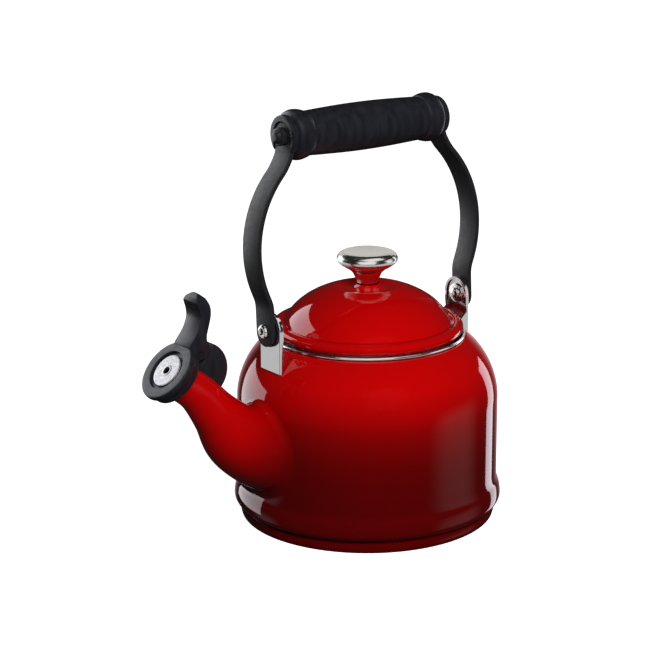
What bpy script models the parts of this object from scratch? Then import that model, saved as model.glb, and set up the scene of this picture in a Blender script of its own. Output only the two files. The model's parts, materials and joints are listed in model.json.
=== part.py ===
"""Stovetop whistling kettle: enamelled steel vessel, bail handle, lift-off lid and flip-up whistle.

Frame: metres, +Z up, origin at the centre of the flat underside. The spout points along -X and the
bail handle stands in line with it, pivoting on two riveted brackets at -X and +X.
"""
import math

import bmesh
import bpy
from mathutils import Matrix, Vector

MM = 0.001
GAP = 0.3 * MM
OBJECT_NAME = "whistling_kettle"

# Vessel
BODY_RADIUS = 68.0 * MM
WALL = 1.4 * MM
FOOT_RADIUS = 67.0 * MM
CREASE_RADIUS = 63.2 * MM
CREASE_HEIGHT = 6.0 * MM
BULGE_RADIUS = 70.2 * MM
BULGE_HEIGHT = 11.4 * MM
CYLINDER_START = 20.0 * MM
SHOULDER_START = 63.9 * MM
SHOULDER_DEPTH = 28.8 * MM
SHOULDER_RISE = 35.7 * MM
SHOULDER_POWER = 1.82
MOUTH_RADIUS = 51.0 * MM
RIM_RADIUS = 49.9 * MM
RIM_HEIGHT = 96.65 * MM
RIM_WIRE = 0.85 * MM
TURNED_STEPS = 36

# Lid and knob
LID_RADIUS = 49.6 * MM
LID_BOTTOM = 98.0 * MM
LID_WALL = 1.2 * MM
CREASE_TOP = 103.2 * MM
DOME_RADIUS = 44.5 * MM
DOME_BASE = 96.3 * MM
DOME_RISE = 27.4 * MM
DISH_RADIUS = 9.5 * MM
DISH_HEIGHT = 118.9 * MM
SKIRT_RADIUS = 46.4 * MM
SKIRT_DEPTH = 11.0 * MM
KNOB_RADIUS = 15.8 * MM
KNOB_TOP = 139.7 * MM
SCREW_RADIUS = 2.0 * MM

# Handle: a bail of two bent straps and a turned grip
PIVOT_HEIGHT = 108.0 * MM
HANDLE_LEAN = math.radians(2.75)
STRAP_WIDTH = 13.8 * MM
STRAP_THICKNESS = 2.4 * MM
STRAP_DROP = 8.0 * MM
STRAP_FOOT_X = 64.5 * MM
STRAP_TOP_X = 48.6 * MM
STRAP_TOP = 210.8 * MM
NECK_HEIGHT = 196.0 * MM
BOW_LOW = Vector((64.5, 122.0)) * MM
BOW_MIDDLE = Vector((70.9, 150.0)) * MM
BOW_HIGH = Vector((53.0, 188.5)) * MM
GRIP_HEIGHT = 203.9 * MM
GRIP_END = 49.2 * MM
GRIP_MID_RADIUS = 12.2 * MM
BULB_RADIUS = 12.7 * MM
FLANGE_RADIUS = 10.4 * MM
FLANGE_WIDTH = 3.0 * MM
CREASE_AT = 35.8 * MM
BARREL_END_RADIUS = 11.1 * MM
ROD_RADIUS = 2.5 * MM

# Pivot brackets
PLATE_X = 61.0 * MM
PLATE_HALF_WIDTH = 8.9 * MM
PLATE_FOOT = 86.7 * MM
PLATE_THICKNESS = 1.3 * MM
TRAY_DEPTH = 2.2 * MM
GUSSET_DEPTH = 9.0 * MM
RIVET_RADIUS = 2.0 * MM

# Spout and whistle, in the plane of symmetry
WHISTLE_TILT = math.radians(42.0)
WHISTLE_FACE = Vector((-121.8, 0.0, 98.7)) * MM
WHISTLE_RADIUS = 16.2 * MM
COLLAR_RADIUS = 14.7 * MM
CAP_DEPTH = 5.0 * MM
COLLAR_DEPTH = 2.6 * MM
TIP_RADIUS = 9.8 * MM
SPOUT_WALL = 1.2 * MM
HINGE = Vector((-104.0, 0.0, 106.3)) * MM
KNUCKLE_RADIUS = 4.6 * MM
KNUCKLE_WIDTH = 10.0 * MM
LEVER_WIDTH = 14.0 * MM
LEVER_TOP = 134.8 * MM
PIN_RADIUS = 1.0 * MM

AXIS_OUT = Vector((-math.cos(WHISTLE_TILT), 0.0, math.sin(WHISTLE_TILT)))
AXIS_UP = Vector((math.sin(WHISTLE_TILT), 0.0, math.cos(WHISTLE_TILT)))


# ---------------------------------------------------------------- scene and materials

def clear_scene():
    for obj in list(bpy.data.objects):
        bpy.data.objects.remove(obj, do_unlink=True)


def new_collection(name):
    collection = bpy.data.collections.new(name)
    bpy.context.scene.collection.children.link(collection)
    return collection


def principled(name, color, roughness, metallic):
    material = bpy.data.materials.new(name)
    material.use_nodes = True
    shader = material.node_tree.nodes["Principled BSDF"]
    shader.inputs["Base Color"].default_value = (*color, 1.0)
    shader.inputs["Roughness"].default_value = roughness
    shader.inputs["Metallic"].default_value = metallic
    material.diffuse_color = (*color, 1.0)
    return material


clear_scene()
PARTS = new_collection(OBJECT_NAME)
CUTTERS = new_collection("cutters")
CUTTERS.hide_render = True

ENAMEL = principled("red_enamel", (0.50, 0.004, 0.006), 0.12, 0.0)
STEEL = principled("polished_steel", (0.72, 0.71, 0.70), 0.18, 1.0)
BRUSHED = principled("brushed_steel", (0.62, 0.62, 0.63), 0.35, 1.0)
PAINTED = principled("black_painted_steel", (0.045, 0.047, 0.052), 0.5, 0.0)
PHENOLIC = principled("black_phenolic", (0.02, 0.021, 0.024), 0.42, 0.0)
SILICONE = principled("grey_silicone", (0.25, 0.25, 0.25), 0.6, 0.0)


# ---------------------------------------------------------------- building helpers

def place(obj, collection, material=None):
    collection.objects.link(obj)
    if material:
        obj.data.materials.append(material)
    if collection is CUTTERS:
        obj.hide_render = True
        obj.display_type = "WIRE"
    return obj


def mesh_object(name, bm, material=None, collection=None):
    mesh = bpy.data.meshes.new(name)
    bmesh.ops.recalc_face_normals(bm, faces=bm.faces)
    bm.to_mesh(mesh)
    bm.free()
    obj = bpy.data.objects.new(name, mesh)
    place(obj, collection or PARTS, material)
    mesh.shade_smooth()
    mesh.set_sharp_from_angle(angle=math.radians(35))
    return obj


def arc(center, radius, start, end, steps):
    """Points (r, z) along an arc, angles in degrees from the +r direction."""
    points = []
    for index in range(steps + 1):
        angle = math.radians(start + (end - start) * index / steps)
        points.append((center[0] + radius * math.cos(angle), center[1] + radius * math.sin(angle)))
    return points


def turned(name, profile, material=None, closed=False, steps=TURNED_STEPS, collection=None):
    """Turns (radius, height) points about Z. A closed profile makes a ring, an open one ends on Z."""
    bm = bmesh.new()
    verts = [bm.verts.new((radius, 0.0, height)) for radius, height in profile]
    for first, second in zip(verts, verts[1:]):
        bm.edges.new((first, second))
    if closed:
        bm.edges.new((verts[-1], verts[0]))
    mesh = bpy.data.meshes.new(name)
    bm.to_mesh(mesh)
    bm.free()
    obj = place(bpy.data.objects.new(name, mesh), collection or PARTS, material)
    screw = obj.modifiers.new("turn", "SCREW")
    screw.axis = "Z"
    screw.angle = 2 * math.pi
    screw.steps = steps
    screw.render_steps = steps
    screw.use_merge_vertices = True
    screw.merge_threshold = 0.00001
    screw.use_smooth_shade = True
    return obj


def cylinder(name, radius, depth, center, axis, material=None, steps=24, collection=None):
    bm = bmesh.new()
    bmesh.ops.create_cone(
        bm, cap_ends=True, segments=steps, radius1=radius, radius2=radius, depth=depth
    )
    turn = Vector((0, 0, 1)).rotation_difference(Vector(axis)).to_matrix().to_4x4()
    bmesh.ops.transform(bm, matrix=Matrix.Translation(center) @ turn, verts=bm.verts)
    return mesh_object(name, bm, material, collection)


def plate(name, outline, half_width, material=None, collection=None, middle=0.0):
    """Extrudes an outline of (x, z) points along Y."""
    bm = bmesh.new()
    near = [bm.verts.new((x, middle - half_width, z)) for x, z in outline]
    face = bm.faces.new(near)
    grown = bmesh.ops.extrude_face_region(bm, geom=[face])
    moved = [item for item in grown["geom"] if isinstance(item, bmesh.types.BMVert)]
    bmesh.ops.translate(bm, vec=(0, 2 * half_width, 0), verts=moved)
    return mesh_object(name, bm, material, collection)


def loft(name, rings, material=None, collection=None):
    """Joins rings of equal length one after the other and closes both ends."""
    bm = bmesh.new()
    rows = [[bm.verts.new(point) for point in ring] for ring in rings]
    for first, second in zip(rows, rows[1:]):
        for index in range(len(first)):
            after = (index + 1) % len(first)
            bm.faces.new((first[index], first[after], second[after], second[index]))
    bm.faces.new(rows[0])
    bm.faces.new(rows[-1])
    return mesh_object(name, bm, material, collection)


def boolean(obj, cutter, operation="DIFFERENCE"):
    modifier = obj.modifiers.new(cutter.name, "BOOLEAN")
    modifier.operation = operation
    modifier.solver = "EXACT"
    modifier.object = cutter
    return obj


def pivot_empty(name, location):
    empty = bpy.data.objects.new(name, None)
    empty.location = location
    PARTS.objects.link(empty)
    return empty


def hang(empty, *objects):
    """Parents objects modelled in the rest position to the empty on their joint's axis."""
    for obj in objects:
        obj.parent = empty
        obj.location = obj.location - empty.location


def mirrored_x(points):
    return [Vector((-point[0], point[1], point[2])) for point in points]


def smooth_path(points, step, passes):
    """Evenly spaced points along a polyline, with its corners relaxed."""
    dense = [Vector(points[0])]
    for first, second in zip(points, points[1:]):
        span = Vector(second) - Vector(first)
        count = max(1, round(span.length / step))
        dense += [Vector(first) + span * (index + 1) / count for index in range(count)]
    for _ in range(passes):
        inner = [(a + 2 * b + c) / 4 for a, b, c in zip(dense, dense[1:], dense[2:])]
        dense = [dense[0], *inner, dense[-1]]
    return dense


# ---------------------------------------------------------------- vessel

def shoulder_points(steps=9):
    """The shoulder from the mouth down to the top of the cylinder, a flattened superellipse."""
    reach = SHOULDER_DEPTH - BODY_RADIUS + MOUTH_RADIUS
    stop = math.acos((reach / SHOULDER_DEPTH) ** (SHOULDER_POWER / 2))
    points = []
    for index in range(steps + 1):
        angle = stop * (1 - index / steps)
        across = SHOULDER_DEPTH * math.cos(angle) ** (2 / SHOULDER_POWER)
        rise = SHOULDER_RISE * math.sin(angle) ** (2 / SHOULDER_POWER)
        points.append((BODY_RADIUS - SHOULDER_DEPTH + across, SHOULDER_START + rise))
    return points


def bulge_points():
    """The rolled bulge above the foot, from the cylinder down to the crease."""
    center = (BODY_RADIUS - 5.0 * MM, BULGE_HEIGHT)
    flare = [(BODY_RADIUS, CYLINDER_START), (BODY_RADIUS + 0.4 * MM, CYLINDER_START - 3.0 * MM)]
    return flare + arc(center, BULGE_RADIUS - center[0], 30, -42, 6)


def inset(profile, amount):
    """Moves an open outer profile inwards along its normals."""
    moved = []
    for index, (radius, height) in enumerate(profile):
        before = profile[max(index - 1, 0)]
        after = profile[min(index + 1, len(profile) - 1)]
        run = Vector((after[0] - before[0], after[1] - before[1])).normalized()
        moved.append((radius + run[1] * amount, height - run[0] * amount))
    return moved


def build_body():
    outer = shoulder_points() + bulge_points() + [(CREASE_RADIUS, CREASE_HEIGHT + GAP)]
    body = turned("body_shell", outer + inset(outer, WALL)[::-1], ENAMEL, closed=True)
    boolean(body, spout_solid("spout_port", -SPOUT_WALL - GAP))


def build_base():
    seam = CREASE_RADIUS - WALL - 2 * GAP
    floor = 1.3 * MM
    lip = 11.0 * MM
    profile = [
        (0.0, floor), (seam - 3.6 * MM, floor), (seam - 1.2 * MM, 3.2 * MM), (seam - 1.2 * MM, lip),
        (seam, lip), (seam, CREASE_HEIGHT), (CREASE_RADIUS, CREASE_HEIGHT),
        (FOOT_RADIUS - 0.8 * MM, 4.8 * MM), (FOOT_RADIUS, 3.2 * MM), (FOOT_RADIUS, 1.0 * MM),
        (FOOT_RADIUS - 1.0 * MM, 0.0), (0.0, 0.0),
    ]
    turned("base_pan", profile, ENAMEL)


def build_rim():
    bead = arc((RIM_RADIUS, RIM_HEIGHT), RIM_WIRE, 90, -225, 7)
    turned("mouth_rim_ring", bead, STEEL, closed=True)


# ---------------------------------------------------------------- spout

SPOUT_ROUTE = (
    ((-114.2, 91.8), 9.8), ((-104.2, 83.5), 10.2), ((-93.9, 70.6), 12.4),
    ((-82.2, 56.8), 17.7), ((-66.0, 46.6), 20.9), ((-52.0, 42.6), 22.3),
)


def spout_tube(name, grow, caps):
    """The spout's swept surface from its mouth into the vessel, as a mesh."""
    curve = bpy.data.curves.new(name, "CURVE")
    curve.dimensions = "3D"
    curve.bevel_depth = MM
    curve.bevel_resolution = 7
    curve.resolution_u = 3
    curve.use_fill_caps = caps
    mouth = WHISTLE_FACE - AXIS_OUT * (CAP_DEPTH + 2 * GAP)
    stations = [(mouth, TIP_RADIUS)]
    stations += [(Vector((x, 0.0, z)) * MM, radius * MM) for (x, z), radius in SPOUT_ROUTE]
    spline = curve.splines.new("BEZIER")
    spline.radius_interpolation = "CARDINAL"
    spline.bezier_points.add(len(stations) - 1)
    for point, (place_at, radius) in zip(spline.bezier_points, stations):
        point.co = place_at
        point.radius = (radius + grow) / MM
        point.handle_left_type = "AUTO"
        point.handle_right_type = "AUTO"
    guide = bpy.data.objects.new(name + "_guide", curve)
    bpy.context.scene.collection.objects.link(guide)
    depsgraph = bpy.context.evaluated_depsgraph_get()
    mesh = bpy.data.meshes.new_from_object(guide.evaluated_get(depsgraph))
    mesh.name = name
    bpy.data.objects.remove(guide, do_unlink=True)
    bm = bmesh.new()
    bm.from_mesh(mesh)
    bmesh.ops.remove_doubles(bm, verts=bm.verts, dist=0.00001)
    bmesh.ops.recalc_face_normals(bm, faces=bm.faces)
    bm.to_mesh(mesh)
    bm.free()
    mesh.shade_smooth()
    return mesh


def spout_solid(name, grow):
    obj = bpy.data.objects.new(name, spout_tube(name, grow, True))
    return place(obj, CUTTERS)


def build_spout():
    mesh = spout_tube("spout", 0.0, False)
    spout = place(bpy.data.objects.new("spout", mesh), PARTS, ENAMEL)
    solidify = spout.modifiers.new("wall", "SOLIDIFY")
    solidify.thickness = SPOUT_WALL
    solidify.offset = -1.0
    vessel = cylinder("vessel_clearance", BODY_RADIUS + GAP, 70 * MM, (0, 0, 50 * MM), (0, 0, 1),
                      steps=96, collection=CUTTERS)
    boolean(spout, vessel)


# ---------------------------------------------------------------- lid

def build_lid():
    dome = []
    for angle in range(66, 13, -8):
        turn = math.radians(angle)
        dome.append((DOME_RADIUS * math.cos(turn), DOME_BASE + DOME_RISE * math.sin(turn)))
    crown = [
        (DISH_RADIUS, DISH_HEIGHT), (DISH_RADIUS + 2.2 * MM, DISH_HEIGHT + 0.9 * MM),
        (DISH_RADIUS + 4.0 * MM, DISH_HEIGHT + 2.2 * MM), (DISH_RADIUS + 5.6 * MM, DISH_HEIGHT + 2.8 * MM),
    ]
    brim = [
        (DOME_RADIUS + 0.3 * MM, CREASE_TOP - 0.2 * MM), (LID_RADIUS - 2.6 * MM, CREASE_TOP),
        (LID_RADIUS - 0.8 * MM, CREASE_TOP - 0.7 * MM), (LID_RADIUS, CREASE_TOP - 2.0 * MM),
        (LID_RADIUS - 0.3 * MM, LID_BOTTOM + 1.0 * MM), (LID_RADIUS - 1.0 * MM, LID_BOTTOM),
    ]
    outer = [(SCREW_RADIUS + GAP, DISH_HEIGHT)] + crown + dome + brim
    turned("lid_shell", outer + inset(outer, LID_WALL)[::-1], ENAMEL, closed=True)
    top = CREASE_TOP - LID_WALL - 0.8 * MM
    foot = top - SKIRT_DEPTH
    wall = 1.0 * MM
    skirt = [
        (SKIRT_RADIUS - wall, top), (SKIRT_RADIUS, top), (SKIRT_RADIUS, foot + wall),
        (SKIRT_RADIUS - 0.5 * MM, foot), (SKIRT_RADIUS - wall, foot + wall),
    ]
    turned("lid_locating_ring", skirt, BRUSHED, closed=True)


def build_knob():
    foot = DISH_HEIGHT + GAP
    neck = foot + 3.2 * MM
    bore = SCREW_RADIUS + GAP
    profile = [
        (0.0, KNOB_TOP - 0.6 * MM), (7.5 * MM, KNOB_TOP - 0.45 * MM), (11.2 * MM, KNOB_TOP),
        (13.2 * MM, KNOB_TOP - 0.35 * MM), (KNOB_RADIUS - 0.7 * MM, KNOB_TOP - 1.8 * MM),
        (KNOB_RADIUS, KNOB_TOP - 3.6 * MM), (KNOB_RADIUS - 0.7 * MM, KNOB_TOP - 5.3 * MM),
        (12.6 * MM, KNOB_TOP - 7.2 * MM), (9.6 * MM, KNOB_TOP - 9.2 * MM),
        (7.2 * MM, neck + 5.0 * MM), (5.7 * MM, neck + 1.8 * MM), (5.3 * MM, neck),
        (5.6 * MM, foot + 1.6 * MM), (6.6 * MM, foot + 0.5 * MM), (8.6 * MM, foot),
        (bore, foot), (bore, foot + 10 * MM), (0.0, foot + 10 * MM),
    ]
    turned("lid_knob", profile, STEEL, steps=28)
    under = DISH_HEIGHT - LID_WALL - GAP
    washer = [
        (bore, under), (6.0 * MM, under), (6.0 * MM, under - 0.8 * MM), (bore, under - 0.8 * MM),
    ]
    turned("knob_washer", washer, BRUSHED, closed=True, steps=24)
    seat = under - 0.8 * MM - GAP
    screw = [
        (0.0, foot + 9.5 * MM), (SCREW_RADIUS, foot + 9.5 * MM), (SCREW_RADIUS, seat),
        (4.0 * MM, seat), (4.0 * MM, seat - 1.6 * MM), (3.2 * MM, seat - 2.2 * MM),
        (0.0, seat - 2.2 * MM),
    ]
    turned("knob_screw", screw, STEEL, steps=20)


# ---------------------------------------------------------------- pivot brackets, rivets and spacers

def shoulder_solid():
    """A turned plug slightly larger than the shoulder, which trims the bracket feet."""
    crown = shoulder_points()
    profile = [(0.0, crown[0][1])]
    profile += [(radius + GAP, height + GAP) for radius, height in crown]
    profile += [(BODY_RADIUS + GAP, 40 * MM), (0.0, 40 * MM)]
    return turned("shoulder_clearance", profile, collection=CUTTERS, steps=96)


def bracket_mesh(name, side):
    """A pressed tray: a round-topped plate whose flange widens into two triangular feet."""
    half = PLATE_HALF_WIDTH
    heel = 99.5 * MM
    edge = [(half, PLATE_FOOT, GUSSET_DEPTH), (half, 92.6 * MM, GUSSET_DEPTH),
            (half, heel, TRAY_DEPTH * 0.7), (half, PIVOT_HEIGHT - 4 * MM, TRAY_DEPTH)]
    for angle in range(0, 181, 18):
        turn = math.radians(angle)
        edge.append((half * math.cos(turn), PIVOT_HEIGHT + half * math.sin(turn), TRAY_DEPTH))
    edge += [(-y, z, depth) for y, z, depth in reversed(edge[:4])]
    bm = bmesh.new()
    rim = [bm.verts.new((side * PLATE_X, y, z)) for y, z, _ in edge]
    lip = [bm.verts.new((side * (PLATE_X - depth), y, z)) for y, z, depth in edge]
    bm.faces.new(rim)
    for index in range(len(edge) - 1):
        bm.faces.new((rim[index], rim[index + 1], lip[index + 1], lip[index]))
    bmesh.ops.recalc_face_normals(bm, faces=bm.faces)
    if sum(face.normal.x * side for face in bm.faces if len(face.verts) > 4) < 0:
        bmesh.ops.reverse_faces(bm, faces=bm.faces)
    mesh = bpy.data.meshes.new(name)
    bm.to_mesh(mesh)
    bm.free()
    return mesh


def build_brackets():
    clearance = shoulder_solid()
    bore = cylinder("rivet_bore", RIVET_RADIUS + GAP, 150 * MM, (0, 0, PIVOT_HEIGHT), (1, 0, 0),
                    collection=CUTTERS)
    for name, side in (("front", -1), ("rear", 1)):
        mesh = bracket_mesh(name + "_bracket", side)
        bracket = place(bpy.data.objects.new(name + "_bracket", mesh), PARTS, STEEL)
        solidify = bracket.modifiers.new("sheet", "SOLIDIFY")
        solidify.thickness = PLATE_THICKNESS
        solidify.offset = -1.0
        solidify.use_even_offset = True
        boolean(bracket, clearance)
        boolean(bracket, bore)
        build_pivot(name, side)
    return bore


def along_x(obj, side, height):
    """Turns a piece made about Z so that its +Z points outwards along X, at the given height."""
    obj.rotation_euler = (0, side * math.pi / 2, 0)
    obj.location = (0, 0, height)
    return obj


def build_pivot(name, side):
    """The spacer between strap and bracket, the washer behind it and the tubular rivet."""
    bore = RIVET_RADIUS + GAP
    inner = PLATE_X + GAP
    outer = STRAP_FOOT_X - STRAP_THICKNESS - GAP
    spacer = [
        (bore, outer), (7.8 * MM, outer), (8.4 * MM, outer - 0.6 * MM), (8.4 * MM, inner),
        (bore, inner),
    ]
    along_x(turned(name + "_pivot_spacer", spacer, PHENOLIC, closed=True, steps=20), side,
            PIVOT_HEIGHT)
    back = PLATE_X - PLATE_THICKNESS - GAP
    washer = [
        (bore, back), (5.0 * MM, back), (5.0 * MM, back - 0.7 * MM), (bore, back - 0.7 * MM),
    ]
    along_x(turned(name + "_pivot_washer", washer, STEEL, closed=True, steps=20), side,
            PIVOT_HEIGHT)
    head = STRAP_FOOT_X + GAP
    tail = back - 0.7 * MM - GAP
    rivet = [
        (0.0, head + 0.3 * MM), (1.3 * MM, head + 0.3 * MM), (1.3 * MM, head + 1.3 * MM),
        (1.7 * MM, head + 1.6 * MM), (2.6 * MM, head + 1.6 * MM), (3.4 * MM, head + 1.1 * MM),
        (3.7 * MM, head + 0.5 * MM), (3.5 * MM, head), (RIVET_RADIUS, head), (RIVET_RADIUS, tail),
        (2.9 * MM, tail), (2.5 * MM, tail - 0.9 * MM), (1.3 * MM, tail - 1.4 * MM),
        (0.0, tail - 1.5 * MM),
    ]
    along_x(turned(name + "_pivot_rivet", rivet, STEEL, steps=16), side, PIVOT_HEIGHT)


# ---------------------------------------------------------------- bail handle

def strap_stations():
    """Distances along a strap, closer together where its round ends narrow."""
    corners = [
        (STRAP_FOOT_X, PIVOT_HEIGHT - STRAP_DROP), (STRAP_FOOT_X, BOW_LOW.y - 1 * MM),
        *bow_points(), (STRAP_TOP_X, NECK_HEIGHT), (STRAP_TOP_X, STRAP_TOP),
    ]
    return smooth_path([(x, 0.0, z) for x, z in corners], 3.0 * MM, 3)


def bow_points(steps=10):
    """The bow between the two bends, an arc through its low, middle and high points."""
    first = (BOW_LOW + BOW_MIDDLE) / 2
    along = (BOW_MIDDLE - BOW_LOW).orthogonal()
    across = (BOW_HIGH - BOW_MIDDLE).orthogonal()
    gap = (BOW_MIDDLE + BOW_HIGH) / 2 - first
    share = (gap.x * across.y - gap.y * across.x) / (along.x * across.y - along.y * across.x)
    center = first + along * share
    start = math.atan2(BOW_LOW.y - center.y, BOW_LOW.x - center.x)
    stop = math.atan2(BOW_HIGH.y - center.y, BOW_HIGH.x - center.x)
    radius = (BOW_LOW - center).length
    turns = [start + (stop - start) * index / steps for index in range(steps + 1)]
    return [(center.x + radius * math.cos(a), center.y + radius * math.sin(a)) for a in turns]


def strap_rings():
    path = strap_stations()
    lengths = [0.0]
    for first, second in zip(path, path[1:]):
        lengths.append(lengths[-1] + (second - first).length)
    half = STRAP_WIDTH / 2
    round_ends = [half * (1 - math.cos(math.radians(angle))) for angle in (14, 32, 50, 70)]
    stations = round_ends + [value for value in lengths if half <= value <= lengths[-1] - half]
    stations += [lengths[-1] - value for value in reversed(round_ends)]
    rings = []
    for value in stations:
        index = max(i for i, length in enumerate(lengths[:-1]) if length <= value)
        run = path[index + 1] - path[index]
        point = path[index] + run * (value - lengths[index]) / run.length
        run.normalize()
        inward = Vector((-run.z, 0.0, run.x)) * STRAP_THICKNESS
        from_end = min(value, lengths[-1] - value, half)
        width = Vector((0.0, math.sqrt(half ** 2 - (half - from_end) ** 2), 0.0))
        rings.append([point + width, point - width, point - width + inward, point + width + inward])
    return rings


def build_straps(empty, rivet_bore):
    rod_bore = cylinder("rod_bore", ROD_RADIUS + GAP, 150 * MM, (0, 0, GRIP_HEIGHT), (1, 0, 0),
                        collection=CUTTERS)
    hang(empty, rod_bore)
    rings = strap_rings()
    rear = loft("rear_strap", rings, PAINTED)
    front = loft("front_strap", [mirrored_x(ring) for ring in rings], PAINTED)
    for strap in (front, rear):
        hang(empty, strap)
        boolean(strap, rivet_bore)
        boolean(strap, rod_bore)


def grip_profile():
    """Half of the grip's outline from its end to the middle: flange, bulb, crease and barrel."""
    seat = GRIP_END - FLANGE_WIDTH
    swell = GRIP_MID_RADIUS - BARREL_END_RADIUS
    outline = [
        (FLANGE_RADIUS - 0.6 * MM, GRIP_END), (FLANGE_RADIUS, GRIP_END - 0.6 * MM),
        (FLANGE_RADIUS, seat), (FLANGE_RADIUS - 0.4 * MM, seat - 0.4 * MM),
        (BULB_RADIUS - 0.7 * MM, seat - 2.0 * MM), (BULB_RADIUS, seat - 4.6 * MM),
        (BULB_RADIUS - 0.2 * MM, seat - 7.0 * MM), (BULB_RADIUS - 0.8 * MM, CREASE_AT + 0.9 * MM),
        (BARREL_END_RADIUS, CREASE_AT),
    ]
    for share in (0.2, 0.4, 0.6, 0.8, 1.0):
        radius = BARREL_END_RADIUS + swell * math.sin(math.pi / 2 * share)
        outline.append((radius, CREASE_AT * (1 - share)))
    return outline


def build_grip(empty):
    half = grip_profile()
    full = half + [(radius, -height) for radius, height in half[-2::-1]]
    bore = ROD_RADIUS + GAP
    profile = full + [(bore, -GRIP_END), (bore, GRIP_END)]
    grip = along_x(turned("grip", profile, PHENOLIC, closed=True, steps=24), 1, GRIP_HEIGHT)
    hang(empty, grip)
    floor = STRAP_TOP_X - STRAP_THICKNESS - GAP
    width = STRAP_WIDTH / 2 + 2 * GAP
    for name, side in (("front", -1), ("rear", 1)):
        center = (side * (floor + 10 * MM), 0, GRIP_HEIGHT)
        socket = cylinder(name + "_strap_socket", width, 20 * MM, center, (1, 0, 0),
                          collection=CUTTERS)
        low = GRIP_HEIGHT - 20 * MM
        ends = sorted((side * floor, side * (floor + 20 * MM)))
        outline = [(ends[0], low), (ends[1], low), (ends[1], GRIP_HEIGHT), (ends[0], GRIP_HEIGHT)]
        slot = plate(name + "_strap_slot", outline, width, collection=CUTTERS)
        hang(empty, socket, slot)
        boolean(grip, socket)
        boolean(grip, slot)
    rod = cylinder("grip_tie_rod", ROD_RADIUS, 2 * (STRAP_TOP_X + 0.1 * MM), (0, 0, GRIP_HEIGHT),
                   (1, 0, 0), BRUSHED, steps=16)
    hang(empty, rod)
    build_nuts(empty)


def build_nuts(empty):
    """Domed hexagon nuts that clamp the straps to the ends of the grip."""
    start = STRAP_TOP_X + 2 * GAP
    for name, side in (("front", -1), ("rear", 1)):
        center = (side * (start + 1.4 * MM), 0, GRIP_HEIGHT)
        nut = cylinder(name + "_grip_nut", 4.4 * MM, 2.8 * MM, center, (1, 0, 0), PAINTED, steps=6)
        dome = [(0.0, start + 4.6 * MM), (1.8 * MM, start + 4.2 * MM), (3.0 * MM, start + 3.2 * MM),
                (3.4 * MM, start + 1.5 * MM), (0.0, start + 1.5 * MM)]
        cap = turned(name + "_nut_dome", dome, collection=CUTTERS, steps=18)
        along_x(cap, side, GRIP_HEIGHT)
        hang(empty, nut, cap)
        boolean(nut, cap, "UNION")


# ---------------------------------------------------------------- whistle

def on_whistle(obj):
    """Puts a piece turned about Z on the whistle's axis, its +Z facing out of the spout."""
    obj.rotation_euler = (0, WHISTLE_TILT - math.pi / 2, 0)
    obj.location = WHISTLE_FACE
    return obj


def in_plane(along_up, behind):
    """A point (x, z) in the plane of symmetry, from the whistle face's centre."""
    point = WHISTLE_FACE + AXIS_UP * along_up - AXIS_OUT * behind
    return point.x, point.z


def lever_outline():
    front = [in_plane(13.2 * MM, 0.5 * MM), (-112.8 * MM, 110.0 * MM), (-108.4 * MM, 115.8 * MM),
             (-105.9 * MM, 121.0 * MM), (-105.8 * MM, 125.6 * MM), (-107.2 * MM, 130.4 * MM)]
    back = [(-106.6 * MM, 133.2 * MM), (-103.9 * MM, 136.2 * MM), (-101.2 * MM, 132.8 * MM),
            (-99.9 * MM, 127.8 * MM), (-99.8 * MM, 123.4 * MM), (-101.0 * MM, 118.6 * MM),
            (-102.3 * MM, 113.8 * MM), (-102.0 * MM, 110.4 * MM)]
    curve = smooth_path([(x, 0.0, z) for x, z in front + back], 2.2 * MM, 2)
    base = [(HINGE.x, HINGE.z), in_plane(16.0 * MM, 5.6 * MM), in_plane(16.0 * MM, CAP_DEPTH - GAP),
            in_plane(13.2 * MM, CAP_DEPTH - GAP)]
    return [(point.x, point.z) for point in curve] + base


def lever_arch():
    """A round-topped slab across the lever, which gives it its round tip."""
    half = LEVER_WIDTH / 2
    outline = [(-half, 95 * MM)] + arc((0.0, LEVER_TOP - half), half, 180, 0, 12) + [(half, 95 * MM)]
    bm = bmesh.new()
    face = bm.faces.new([bm.verts.new((-125 * MM, y, z)) for y, z in outline])
    grown = bmesh.ops.extrude_face_region(bm, geom=[face])
    moved = [item for item in grown["geom"] if isinstance(item, bmesh.types.BMVert)]
    bmesh.ops.translate(bm, vec=(35 * MM, 0, 0), verts=moved)
    return mesh_object("lever_arch", bm, collection=CUTTERS)


def build_cap(empty):
    edge = WHISTLE_RADIUS
    profile = [
        (10.7 * MM, 0.0), (edge - 1.1 * MM, 0.0), (edge - 0.2 * MM, -0.5 * MM), (edge, -1.3 * MM),
        (edge - 0.3 * MM, -2.6 * MM), (COLLAR_RADIUS + 0.1 * MM, -CAP_DEPTH),
        (11.5 * MM, -CAP_DEPTH), (11.5 * MM, -3.3 * MM), (5.5 * MM, -3.3 * MM),
        (5.5 * MM, -1.6 * MM), (10.4 * MM, -1.6 * MM), (10.4 * MM, -0.3 * MM),
    ]
    cap = on_whistle(turned("whistle_cap", profile, PHENOLIC, closed=True, steps=32))
    lever = plate("thumb_lever", lever_outline(), LEVER_WIDTH / 2, collection=CUTTERS)
    arch = lever_arch()
    boolean(lever, arch, "INTERSECT")
    knuckle = cylinder("knuckle", KNUCKLE_RADIUS, KNUCKLE_WIDTH, HINGE, (0, 1, 0), steps=28,
                       collection=CUTTERS)
    fork = cylinder("fork_slot", KNUCKLE_RADIUS + GAP, 6 * MM, HINGE, (0, 1, 0), steps=28,
                    collection=CUTTERS)
    bore = cylinder("pin_bore", PIN_RADIUS + GAP, KNUCKLE_WIDTH - 1.6 * MM, HINGE, (0, 1, 0),
                    collection=CUTTERS)
    hang(empty, cap, lever, arch, knuckle, fork)
    boolean(cap, lever, "UNION")
    boolean(cap, knuckle, "UNION")
    boolean(cap, fork)
    boolean(cap, bore)
    return bore


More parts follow.
